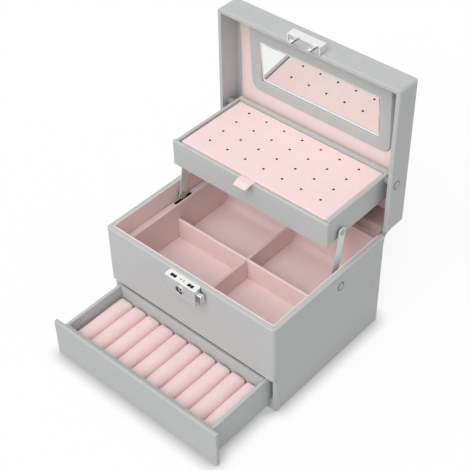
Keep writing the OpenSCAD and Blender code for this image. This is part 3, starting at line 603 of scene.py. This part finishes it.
def roundedOutline(x0, x1, z0, z1, corner, straight, turn):
    # The same number of points on each side and corner, so that two outlines pair up
    corners = [((x1 - corner, z0 + corner), -90), ((x1 - corner, z1 - corner), 0),
               ((x0 + corner, z1 - corner), 90), ((x0 + corner, z0 + corner), 180)]
    walk = []
    for (x, z), start in corners:
        for k in range(turn + 1):
            angle = math.radians(start + 90 * k / turn)
            walk.append((x + corner * math.cos(angle), z + corner * math.sin(angle)))
    points = []
    for k, (x, z) in enumerate(walk):
        nextX, nextZ = walk[(k + 1) % len(walk)]
        parts = straight if k % (turn + 1) == turn else 1
        points += [(x + (nextX - x) * p / parts, z + (nextZ - z) * p / parts)
                   for p in range(parts)]
    return np.array(points)


board, hole, gap = nodeBox("lid_pad"), nodeBox("mirror_frame"), lidPad["gap"]
inner = roundedOutline(hole["x0"] - gap, hole["x1"] + gap, hole["z0"] - gap, hole["z1"] + gap,
                       lidPad["frameCorner"], lidPad["straight"], lidPad["turn"])
outer = roundedOutline(board["x0"] + gap, board["x1"] - gap, board["z0"] + gap, board["z1"] - gap,
                       lidPad["corner"], lidPad["straight"], lidPad["turn"])
side = np.clip((outer[:, 0] / (board["x0"] + gap) - 0.9) / 0.1, 0, 1)  # 1 on the left side
height = np.clip((outer[:, 1] - board["z0"]) / spanOf(board, "z"), 0, 1)
outer[:, 0] += side * lidPad["waist"] * np.sin(math.pi * height) ** 0.6
width = np.linalg.norm(outer - inner, axis=1)
shares = spaced(0, 1, 0.08, 1 / lidPad["across"])
points, count, rings = [], len(inner), len(shares)
for layer in ("face", "back"):
    for share in shares:
        line = inner + (outer - inner) * share
        reach = np.minimum(share, 1 - share) * width
        rim = np.minimum(reach, lidPad["rim"]) / lidPad["rim"]
        up = (line[:, 1] - (board["z1"] - lidPad["coveReach"])) / lidPad["coveReach"]
        cove = lidPad["coveRise"] * np.clip(up, 0, 1) ** 2 * share
        swell = lidPad["plump"] * np.sin(math.pi * share) ** 0.6 + cove
        thick = lidPad["board"] * np.sqrt(1 - (1 - rim) ** 2) + lidPad["edge"] + swell
        depth = board["y1"] - (thick if layer == "face" else 0)
        points.append(np.stack([line[:, 0], np.broadcast_to(depth, count), line[:, 1]], -1))
starts = [(layer * rings + r) * count for layer in (0, 1) for r in range(rings - 1)]
faces = [face for start in starts for face in ringFaces(start, start + count, count)]
for r in (0, rings - 1):
    faces += ringFaces(r * count, (r + rings) * count, count)
piece = smooth(outward(meshPiece("lidPad", np.concatenate(points), faces)), 60)
finished(piece, "lid", pinkVelvet, "velvet", "lid_pad")
print("lid lined")

# The mirror: its border tilts inwards, as light turns in a bevelled glass, and it leans a little
# more than its frame
mirrorGlass = {
    "seatLean": 2.0,
    "lip": 1 * mm,  # hidden behind the frame's edge
    "turnIn": 0.1 * mm,  # where the border's outer ridge stands, inside the lip
    "border": 1.3 * mm,
    "borderTilt": 24,
    "thickness": 0.8 * mm,
}
glass, thick = nodeBox("mirror_glass"), mirrorGlass["thickness"]
widest = max(cadNode["mirror_glass"].data.polygons, key=lambda face: face.area)
facing = widest.normal * (1 if widest.normal.y < 0 else -1)
middle = Vector([middleOf(glass, a) for a in "xyz"]) + facing * thick / 2
tall, wide = spanOf(glass, "z") / -facing.y / 2, spanOf(glass, "x") / 2
facing = Matrix.Rotation(math.radians(mirrorGlass["seatLean"]), 3, "X") @ facing
upward = Vector((1, 0, 0)).cross(facing)
lip, border = mirrorGlass["lip"], mirrorGlass["border"]
ridge = border * math.tan(math.radians(mirrorGlass["borderTilt"]))
points = []
for inset, rise in ((0, 0), (lip + mirrorGlass["turnIn"], ridge), (lip + border, 0), (0, -thick)):
    for across, high in fourCorners:
        points.append(middle + Vector((across * (wide - inset), 0, 0))
                      + high * (tall - inset) * upward + rise * facing)
faces = [(8, 9, 10, 11), (12, 13, 14, 15)]
for near, far in ((0, 4), (4, 8), (0, 12)):
    faces += ringFaces(near, far, 4)
finished(outward(meshPiece("mirrorGlass", points, faces)), "lid", silvered, "mirror",
         "mirror_glass")


def stepsAlong(line):
    return np.linalg.norm(np.diff(np.array(line, float), axis=0), axis=1)


def clothStrip(name, line, halfWidth, thickness, across, rounds=4):
    # A strip of cloth that follows a line of (y, z) places, with its own thickness
    line = np.array(line, float)
    for turn in range(rounds):  # corners are cut off until the line runs smoothly
        cut = [line[0]]
        for a, b in zip(line[:-1], line[1:]):
            cut += [a * 0.75 + b * 0.25, a * 0.25 + b * 0.75]
        line = np.array(cut + [line[-1]])
        if turn == 1:
            line = line[np.concatenate([[True], stepsAlong(line) > 1e-5])]
    xs = np.linspace(-halfWidth, halfWidth, across + 1)
    points = [(x, y, z) for y, z in line for x in xs]
    piece = meshPiece(name, points, sheetFaces(len(line), len(xs)))
    return thickened(piece, thickness), float(stepsAlong(line).sum())


def placesFrom(rows, yFrom, zFrom):
    # Rows of (named y, mm from it, named z, mm from it) give the (y, z) places of a line
    return [(yFrom[a] + y * mm, zFrom[b] + z * mm) for a, y, b, z in rows]


# The ribbon is folded: from under the panel's edge up behind the tray's front, over its rim, round
# a loop in the air and back on itself
ribbonTab = {
    "thickness": 0.2 * mm,
    "loop": 0.7 * mm,  # how far the loop's two layers stand apart
    "droop": 2.2 * mm,
    "reach": 8.2 * mm,
    "taper": 0.16,  # how much narrower the loop is at its tip
    "line": (("root", -0.5, "foot", 0.6), ("board", 0.22, "foot", 2.5),
             ("board", 0.15, "rim", -0.2), ("board", -0.5, "rim", 0.15),
             ("face", 0, "rim", 0.15), ("face", -4, "rim", -0.1), ("tip", 1, "under", 0.2),
             ("tip", -0.3, "under", 0.3), ("tip", -0.3, "over", 0.6), ("tip", 1.2, "over", 0.75),
             ("face", -4, "rim", 0.45), ("face", 0, "rim", 0.45), ("board", -0.5, "rim", 0.4),
             ("board", 0.35, "rim", -0.1), ("board", 0.4, "foot", 2.5),
             ("root", -0.17, "foot", 0.6)),
}
tab, front = nodeBox("ribbon_tab"), nodeBox("tray_front")
tip, under = front["y0"] - ribbonTab["reach"], front["z1"] - ribbonTab["droop"]
line = placesFrom(ribbonTab["line"],
                  {"root": tab["y1"], "board": front["y1"], "face": front["y0"], "tip": tip},
                  {"foot": tab["z0"], "rim": front["z1"], "under": under,
                   "over": under + ribbonTab["loop"]})
piece, length = clothStrip("ribbonTab", line, spanOf(tab, "x") / 2, ribbonTab["thickness"], 10)
for vertex in piece.data.vertices:
    outwards = max(0, front["y1"] - vertex.co.y) / (front["y1"] - tip)
    vertex.co.x *= 1 - ribbonTab["taper"] * outwards
finished(piece, "earring_panel", ribbonWeave, "ribbon", "ribbon_tab")

# The velvet that covers the hinge, from the case's lining over the knuckles to the lid's lining.
# Its velvet is darkened as painted shade for the corner behind the tray
hingeCloth = {
    "thickness": 0.4 * mm,
    "short": 1 * mm,  # how far it stops short of the lid lining's sides
    "liningThick": 1 * mm,
    "off": 0.25 * mm,  # how far the cloth's middle lies off what it covers
    "knuckle": 1.6 * mm,
    "clear": 0.45 * mm,  # between the knuckles and the cloth's middle
    "round": (160, 140, 120, 105),
    "onCase": (("inside", 0, "top", -4), ("inside", 0, "top", -0.4), ("inside", 0.5, "top", 0.1),
               ("outside", 1, "top", 0.15)),
    "onLid": (("axis", 0.2, "edge", -0.6), ("axis", 0.9, "lid", 0), ("axis", 4.9, "lid", 0)),
    "turns": (("outside", 1.4, "top", 0), ("axis", 0.4, "edge", -0.4)),  # where it bends
}
rear, lining, hinge = (nodeBox(node) for node in ("lid_rear_lining", "case_lining", "hinge_pin"))
axisY, axisZ, off = middleOf(hinge, "y"), middleOf(hinge, "z"), hingeCloth["off"]
knuckle = hingeCloth["knuckle"] + hingeCloth["clear"]
arc = [(axisY + knuckle * math.cos(angle), axisZ + knuckle * math.sin(angle))
       for angle in map(math.radians, hingeCloth["round"])]
onCase, onLid, (start, end) = (placesFrom(
    hingeCloth[key], {"inside": lining["y1"] - hingeCloth["liningThick"] - off,
                      "outside": lining["y1"], "axis": axisY},
    {"top": lining["z1"] + off, "edge": rear["z1"], "lid": rear["z1"] + off})
    for key in ("onCase", "onLid", "turns"))
halfWidth = rear["x1"] - hingeCloth["short"]
piece, length = clothStrip("hingeCloth", [*onCase, *arc, *onLid], halfWidth,
                           hingeCloth["thickness"], 40)
painted(piece, hingeShadeVelvet)
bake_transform(piece)
print("ribbon and hinge cloth hung")

# Covered cards, ledges and boards, and the pressed metal, with their edges turned
easing = {
    "rounds": 2, "sharpest": 30,  # edges that turn by more than this are rounded
    "flat": 0.5,  # triangles that turn by less than this are joined first
}
easedPieces = [
    ("left_ledge", 0.9, shadedDividerVelvet, "velvet", "case"),
    ("right_ledge", 0.9, pinkVelvet, "velvet", "case"),
    ("long_divider", 0.35, pinkVelvet, "velvet", "case"),
    ("cross_divider", 0.35, shadedDividerVelvet, "velvet", "case"),
    ("case_lining", 0.4, pinkVelvet, "velvet", "case"),
    ("lid_rear_lining", 0.35, hingeShadeVelvet, "velvet", "lid"),
    ("tray_lining", 0.35, pinkVelvet, "velvet", "tray"),
    ("drawer_box", 0.5, boardLeatherette, "leatherette", "drawer"),
    ("drawer_cross_wall", 0.4, boardLeatherette, "leatherette", "drawer"),
    ("mirror_frame", 0.7, boardLeatherette, "leatherette", "lid"),
    ("lock_top_plate", 0.15, brightChrome, "chrome", "case"),
    ("push_button", 0.12, paleChrome, "chrome", "latch"),
    ("left_arm", 0.2, armSteel, "bright_steel", "left_arm"),
    ("right_arm", 0.2, armSteel, "bright_steel", "right_arm"),
]


def easedCopy(name, node, radius):
    # A copy of the CAD node whose sharp edges are rounded, as cloth or pressed metal turns them
    piece = copied(name, node)
    bm = bmesh.new()
    bm.from_mesh(piece.data)
    bmesh.ops.remove_doubles(bm, verts=bm.verts, dist=mergeWithin)
    bmesh.ops.dissolve_limit(bm, angle_limit=math.radians(easing["flat"]), verts=bm.verts,
                             edges=bm.edges)
    sharp = [e for e in bm.edges if len(e.link_faces) == 2
             and math.degrees(e.calc_face_angle(0)) > easing["sharpest"]]
    bmesh.ops.bevel(bm, geom=sharp, offset=radius, segments=easing["rounds"], profile=0.5,
                    affect="EDGES", clamp_overlap=False)
    bm.to_mesh(piece.data)
    bm.free()
    even = smooth(piece, 50).modifiers.new("evenShine", "WEIGHTED_NORMAL")
    even.keep_sharp = True
    return piece


eased = {}
for node, radius, material, slot, body in easedPieces:
    head, *rest = node.split("_")
    piece = easedCopy(head + "".join(word.title() for word in rest), node, radius * mm)
    eased[node] = finished(piece, body, material, slot, node)

armSlots = {
    "length": 20 * mm,
    "beside": 0.2 * mm,  # margins within which a face belongs to a slot
    "fromSide": 1.2 * mm,
    "belowTop": 0.9 * mm,
}
slotMiddle = middleOf(nodeBox("case_rivets"), "y")


def reachOf(piece):
    places = np.array([v.co for v in piece.data.vertices])
    return Vector(places.min(axis=0)), Vector(places.max(axis=0))


# The arms' slots in the ledges are painted dark: painted shade inside the slots
for node in ("left_ledge", "right_ledge"):
    low, high = reachOf(eased[node])
    paintFaces(eased[node], cutEdge, lambda face: (
        min(face.center.x - low.x, high.x - face.center.x) > armSlots["fromSide"]
        and abs(face.normal.z) < 0.5 and face.center.z < high.z - armSlots["belowTop"]
        and abs(face.center.y - slotMiddle) < armSlots["length"] / 2 + armSlots["beside"]))

buttonGrooves = {"fromEnds": 0.2 * mm, "fromRibs": 0.3 * mm}
low, high = reachOf(eased["push_button"])


def inGroove(face):
    sunk = min(face.center.y - low.y, high.y - face.center.y) > buttonGrooves["fromEnds"]
    return (high.x - face.center.x > buttonGrooves["fromRibs"] and abs(face.normal.z) < 0.5
            and (abs(face.normal.x) > 0.7 or sunk and abs(face.normal.y) > 0.7))


# The button's grooves are painted dark: painted shade between its ribs
paintFaces(eased["push_button"], blackenedSteelAndShade, inGroove)

# The hasp's prongs are painted brighter where they stand out of the cover, a painted highlight, and
# dark on their right-facing sides, painted shade
haspProngs = {"inside": 1 * mm}  # how far into the cover the painted highlight reaches
paintedLightTo = nodeBox("hasp_cover")["y0"] + haspProngs["inside"]


def standsOut(face):
    return face.center.y < paintedLightTo and abs(face.normal.y) < 0.9


prongs = outward(copied("haspProngs", "hasp_prongs"))
finished(prongs, "lid", hingeSteel, "bright_steel", "hasp_prongs")
paintFaces(prongs, brightChrome, standsOut)
paintFaces(prongs, blackenedSteelAndShade, lambda face: standsOut(face) and face.normal.x > 0.9)
print("edges turned")

# The lock's key ring with its sunk, round keyway, and the two pins on the lock's top
keyway = {
    "ring": 4.5 * mm,  # outer radius
    "proud": 0.6 * mm,
    # mm out of and above each corner
    "outerEdge": ((0, -0.25), (-0.1, -0.08), (-0.3, 0)),
    "innerEdge": ((0.3, 0), (0.1, -0.06), (0, -0.2)),
    "play": 0.05 * mm,  # between the key's cylinder and the ring
    "sleeve": 0.04 * mm,
    "sleeveFront": 0.3 * mm,  # behind the ring's face
    "sleeveBack": 0.5 * mm,  # behind the key's face
    "sunk": 0.9 * mm,  # how far the key's face lies behind the lock's
    "chamfer": 0.3 * mm,
    "depth": 4 * mm,
    "hole": 0.95 * mm,
    "slot": (0.9 * mm, 3 * mm),
    "cutDepth": 3 * mm,
}
closed = 0.01 * mm  # a radius so small that a turned end looks closed


def turned(name, profile, centre, axis, steps=48):
    # A profile of (radius, height) places turned round an axis. A profile that ends where it
    # starts makes a ring, and any other gets flat ends
    axis = Vector(axis)
    side = axis.orthogonal().normalized()
    other = axis.cross(side)
    points, faces = [], []
    for radius, high in profile:
        for k in range(steps):
            angle = 2 * math.pi * k / steps
            points.append(Vector(centre) + axis * high
                          + radius * (math.cos(angle) * side + math.sin(angle) * other))
    for i in range(len(profile) - 1):
        faces += ringFaces(i * steps, (i + 1) * steps, steps)
    if profile[0] != profile[-1]:
        faces += [range(start, start + steps) for start in (0, (len(profile) - 1) * steps)]
    return outward(meshPiece(name, points, faces))


def flatPlate(name, outline, y0, y1):
    # A plate with this outline of (x, z) places, from one depth to another
    count = len(outline)
    points = [(x, y, z) for y in (y0, y1) for x, z in outline]
    return outward(meshPiece(name, points, [range(count), range(count, 2 * count),
                                            *ringFaces(0, count, count)]))


key, ring = nodeBox("key_cylinder"), nodeBox("key_rosette")
keyX, keyZ, lockFace = middleOf(ring, "x"), middleOf(ring, "z"), ring["y1"]
keyRadius, outOfLock = spanOf(key, "x") / 2, ((keyX, lockFace, keyZ), (0, -1, 0))
outer, proud, sunk = keyway["ring"], keyway["proud"], keyway["sunk"]
radius = keyRadius + keyway["play"]
profile = [(outer, 0), *[(outer + r * mm, proud + h * mm) for r, h in keyway["outerEdge"]],
           *[(radius + r * mm, proud + h * mm) for r, h in keyway["innerEdge"]], (radius, 0),
           (outer, 0)]
piece = smooth(turned("keyRing", profile, *outOfLock), 35)
finished(piece, "case", ringChrome, "chrome", "key_rosette")
# The sleeve lines the ring's bore in dark steel: painted shade on the recess's inner wall
inner = radius - keyway["sleeve"]
front, back = proud - keyway["sleeveFront"], -sunk - keyway["sleeveBack"]
profile = [(radius, front), (radius, back), (inner, back), (inner, front), (radius, front)]
finished(turned("keySleeve", profile, *outOfLock), "case", blackenedSteelAndShade, "dark_steel")
radius, chamfer = keyRadius - keyway["play"], keyway["chamfer"]
profile = [(radius, -keyway["depth"]), (radius, -sunk - chamfer), (radius - chamfer, -sunk),
           (closed, -sunk)]
piece = turned("keyCylinder", profile, *outOfLock)
hole = turned("keyHole", [(keyway["hole"], 0), (keyway["hole"], -keyway["cutDepth"])],
              *outOfLock, 24)
slotWide, slotHigh = (size / 2 for size in keyway["slot"])
slot = flatPlate("keySlot", [(keyX + x * slotWide, keyZ + z * slotHigh) for x, z in fourCorners],
                 lockFace, lockFace + keyway["cutDepth"])
for cutter in (hole, slot):
    cut = piece.modifiers.new("cut", "BOOLEAN")
    cut.object, cut.operation, cut.solver = cutter, "DIFFERENCE", "EXACT"
    applied(piece)
    bpy.data.objects.remove(cutter)
finished(smooth(piece, 35), "key", satinChrome, "dark_steel", "key_cylinder")


def inKeyhole(face):
    off = Vector((face.center.x - keyX, face.center.z - keyZ)).length
    return off < slotHigh + 0.1 * mm and face.center.y > lockFace + sunk + 0.05 * mm


# The faces inside the keyhole are painted dark: painted shade in the keyway
paintFaces(piece, blackenedSteelAndShade, inKeyhole)

lockPins = {
    "radius": 0.8 * mm, "apart": 3 * mm, "proud": 0.15 * mm, "root": 0.3 * mm,
    "dome": ((1, 0.3), (0.8, 0.8), (0.4, 1)),  # shares of the radius and of the height
}
plate, wide, proud = nodeBox("lock_top_plate"), lockPins["radius"], lockPins["proud"]
middle = Vector((middleOf(plate, "x"), middleOf(plate, "y"), plate["z1"]))
profile = [(wide, -lockPins["root"]), *[(r * wide, h * proud) for r, h in lockPins["dome"]],
           (closed, proud)]
for name, side in (("lockPinLeft", -1), ("lockPinRight", 1)):
    centre = middle + Vector((side * lockPins["apart"] / 2, 0, 0))
    piece = turned(name, profile, centre, (0, 0, 1), 20)
    finished(smooth(piece, 50), "case", rivetSteel, "chrome")

# A dark ring round each rivet's head, and a dark line beside the lock: painted shadow, laid on the
# leatherette as thin dark discs and a plate
rivetSeats = {"wider": 0.45 * mm, "proud": 0.12 * mm}
tree, given, made = treeWithInputs("rivetSeats", {
    "Float": "apart radius thickness", "Vector": "middle", "Material": "ring"})
apart = addNode(tree, "ShaderNodeCombineXYZ", links={"X": given["apart"]})
start = addNode(tree, "ShaderNodeVectorMath", {"operation": "MULTIPLY_ADD"},
                {1: (-0.5, -0.5, -0.5)}, {0: apart, 2: given["middle"]})
spots = addNode(tree, "GeometryNodeMeshLine", {"mode": "OFFSET"}, {"Count": 2}, {
    "Start Location": start, "Offset": apart})
disc = addNode(tree, "GeometryNodeMeshCylinder", inputs={"Vertices": 32}, links={
    "Radius": given["radius"], "Depth": given["thickness"]})
discs = addNode(tree, "GeometryNodeInstanceOnPoints", inputs={"Rotation": (0, math.pi / 2, 0)},
                links={"Points": spots, "Instance": disc})
discs = addNode(tree, "GeometryNodeRealizeInstances", links={"Geometry": discs})
discs = addNode(tree, "GeometryNodeSetMaterial", links={
    "Geometry": discs, "Material": given["ring"]})
tree.links.new(discs.outputs[0], made["Geometry"])
for name, node, body in (("caseRivetSeats", "case_rivets", "case"),
                         ("lidRivetSeats", "lid_rivets", "lid")):
    heads = nodeBox(node)
    piece = grown(meshPiece(name, [], []), tree, {
        "apart": spanOf(nodeBox(body + "_shell"), "x"), "thickness": 2 * rivetSeats["proud"],
        "middle": (0, middleOf(heads, "y"), middleOf(heads, "z")),
        "radius": spanOf(heads, "z") / 2 + rivetSeats["wider"], "ring": paintedShadowEdge})
    finished(smooth(outward(piece), 40), body, paintedShadowEdge, "leatherette")

lockSeat = {"wider": 0.4 * mm, "proud": 0.15 * mm, "shorter": 0.9 * mm, "corner": 0.4 * mm}
housing, wider, shorter = nodeBox("lock_housing"), lockSeat["wider"], lockSeat["shorter"]
outline = roundedOutline(housing["x0"] - wider, housing["x1"] + wider, housing["z0"] + shorter,
                         housing["z1"] - shorter, lockSeat["corner"], 4, 4)
piece = flatPlate("lockSeat", outline, housing["y1"] - lockSeat["proud"],
                  housing["y1"] + lockSeat["proud"])
finished(piece, "case", paintedShadowEdge, "leatherette")
print("lock and rivets fitted")

# The leatherette that covers the hinge behind, from the case's rear wall round the barrel to the
# lid's, and follows their rounded corners
rearCover = {
    "thickness": 0.35 * mm,
    "off": 0.02 * mm,  # between it and the walls
    "overlap": 7 * mm,
    "bend": 2.7 * mm,  # how far from the hinge's axis it leaves each wall
    # how many mm it lies off the barrel, at each angle
    "slack": ((-75, 0.9), (-60, 0.65), (-45, 0.55), (-30, 0.65), (-15, 0.9)),
    "corner": 3 * mm,  # the walls' own corner radius
    "inset": 0.3 * mm,  # how far its ends stop short of the sides
    "steps": 8,  # points round each corner, and across its flat middle
    "across": 25,
}
case, lid = nodeBox("case_shell"), nodeBox("lid_shell")
off, overlap, bend = (rearCover[key] for key in ("off", "overlap", "bend"))
corner, inset = rearCover["corner"], rearCover["inset"]
off = rearCover["thickness"] / 2 + off
caseY, lidZ, halfway = case["y1"] + off, lid["z0"] - off, (overlap + bend) / 2
barrel = nodeBox("hinge_case_leaf")["y1"] - axisY
line = [((caseY, axisZ - away), (1, 0)) for away in (overlap, halfway, bend)]  # place, outward
for angle, clear in rearCover["slack"]:
    reach, turn = barrel + clear * mm, math.radians(angle)
    line.append(((axisY + reach * math.cos(turn), axisZ + reach * math.sin(turn)),
                 (-math.sin(turn), math.cos(turn))))
line += [((axisY + away, lidZ), (0, 1)) for away in (bend, halfway, overlap)]
flat = case["x1"] - corner
ends = flat + np.linspace(0, corner - inset, rearCover["steps"])
xs = np.concatenate([-ends[::-1], np.linspace(-1, 1, rearCover["across"])[1:-1] * flat, ends])
drop = corner - np.sqrt(corner ** 2 - np.clip(np.abs(xs) - case["x1"] + corner, 0, None) ** 2)
points = [(x, y - d * back, z + d * up) for (y, z), (back, up) in line for x, d in zip(xs, drop)]
piece = thickened(meshPiece("rearCover", points, sheetFaces(len(line), len(xs))),
                  rearCover["thickness"])
painted(piece, greyLeatherette)
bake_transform(piece)
length = float(stepsAlong([place for place, _ in line]).sum())
print("hinge covered")

# A plain pale floor under a soft, even sky, with one wide soft lamp from the front, and a painted
# contact shadow near the box
stage = {
    "floorSize": 8.0,
    "floorDrop": 0.1 * mm,
    "floorColour": "#CCCCCC",    # what lights the box from below
    "floorWhite": 0.85,  # share of plain white in what the camera sees of the floor
    "contact": 13 * mm,  # how far the painted contact shadow under the box's lower edges reaches
    "contactShade": 0.45,
    "skyLight": 0.62,
    "sunStrength": 1.6, "sunAngle": 50, "sunFrom": (0.0, -0.65, 0.76),
}
plainWhite = (1, 1, 1, 1)
reach = stage["floorSize"] / 2
floor = meshPiece("floor", [(x * reach, y * reach, -stage["floorDrop"]) for x, y in fourCorners],
                  [(0, 1, 2, 3)])


def seenDirectly(tree):
    # 1 for what the camera sees, also in metal and through glass
    ray = addNode(tree, "ShaderNodeLightPath").outputs
    seen = addNode(tree, "ShaderNodeMath", {"operation": "MAXIMUM"}, links={
        0: ray["Is Camera Ray"], 1: ray["Is Glossy Ray"]})
    return addNode(tree, "ShaderNodeMath", {"operation": "MAXIMUM"}, links={
        0: seen, 1: ray["Is Transmission Ray"]})


floorPaint = bpy.data.materials.new("Matt white paper")
tree = emptyTree(floorPaint)
lit = addNode(tree, "ShaderNodeBsdfDiffuse", inputs={"Color": hexColour(stage["floorColour"])})
white = addNode(tree, "ShaderNodeBsdfDiffuse", inputs={"Color": plainWhite})
# The camera's view of the floor darkens near the box by ambient occlusion: a painted contact shadow
near = addNode(tree, "ShaderNodeAmbientOcclusion", inputs={"Distance": stage["contact"]})
near = addNode(tree, "ShaderNodeMapRange", links={"Value": near.outputs["AO"]}, inputs={
    "From Min": 0.5, "To Min": stage["contactShade"]})
glow = addNode(tree, "ShaderNodeEmission", inputs={"Color": plainWhite}, links={"Strength": near})
pale = addNode(tree, "ShaderNodeMixShader", inputs={0: stage["floorWhite"]}, links={
    1: white, 2: glow})
shown = addNode(tree, "ShaderNodeMixShader", links={0: seenDirectly(tree), 1: lit, 2: pale})
addNode(tree, "ShaderNodeOutputMaterial", links={"Surface": shown})
floor.data.materials.append(floorPaint)

sun = linked("softSun", bpy.data.lights.new("softSun", "SUN"))
sun.data.energy = stage["sunStrength"]
sun.data.angle = math.radians(stage["sunAngle"])
sun.rotation_euler = Vector(stage["sunFrom"]).to_track_quat("Z", "Y").to_euler()

world = bpy.data.worlds.new("studio")
bpy.context.scene.world = world
tree = emptyTree(world)
ambient = addNode(tree, "ShaderNodeBackground", inputs={
    "Strength": stage["skyLight"], "Color": plainWhite})
white = addNode(tree, "ShaderNodeBackground", inputs={"Strength": 1, "Color": plainWhite})
shown = addNode(tree, "ShaderNodeMixShader", links={0: seenDirectly(tree), 1: ambient, 2: white})
addNode(tree, "ShaderNodeOutputWorld", links={"Surface": shown})

# The photograph's view: the place, direction and lens that put the box's corners where it shows
# them
shot = {
    "place": (436.616 * mm, -490.708 * mm, 689.180 * mm),
    "azimuth": 41.968, "elevation": 41.975, "roll": -0.874,
    "lens": 85.866, "sensor": 36, "shift": (-0.01144, -0.01735),
}
azimuth, elevation, roll = (math.radians(shot[key]) for key in ("azimuth", "elevation", "roll"))
back = Vector((math.sin(azimuth) * math.cos(elevation), -math.cos(azimuth) * math.cos(elevation),
               math.sin(elevation)))
right = Vector((math.cos(azimuth), math.sin(azimuth), 0))
up = back.cross(right)
right, up = (math.cos(roll) * right + math.sin(roll) * up,
             -math.sin(roll) * right + math.cos(roll) * up)
turn = Matrix((right, up, back)).transposed().to_4x4()
camera = linked("camera", bpy.data.cameras.new("camera"))
camera.matrix_world = Matrix.Translation(shot["place"]) @ turn
camera.data.sensor_width = shot["sensor"]
camera.data.lens = shot["lens"]
camera.data.shift_x, camera.data.shift_y = shot["shift"]
bpy.context.scene.camera = camera
bpy.context.scene.view_settings.view_transform = "Standard"
print("stage, light and camera set")
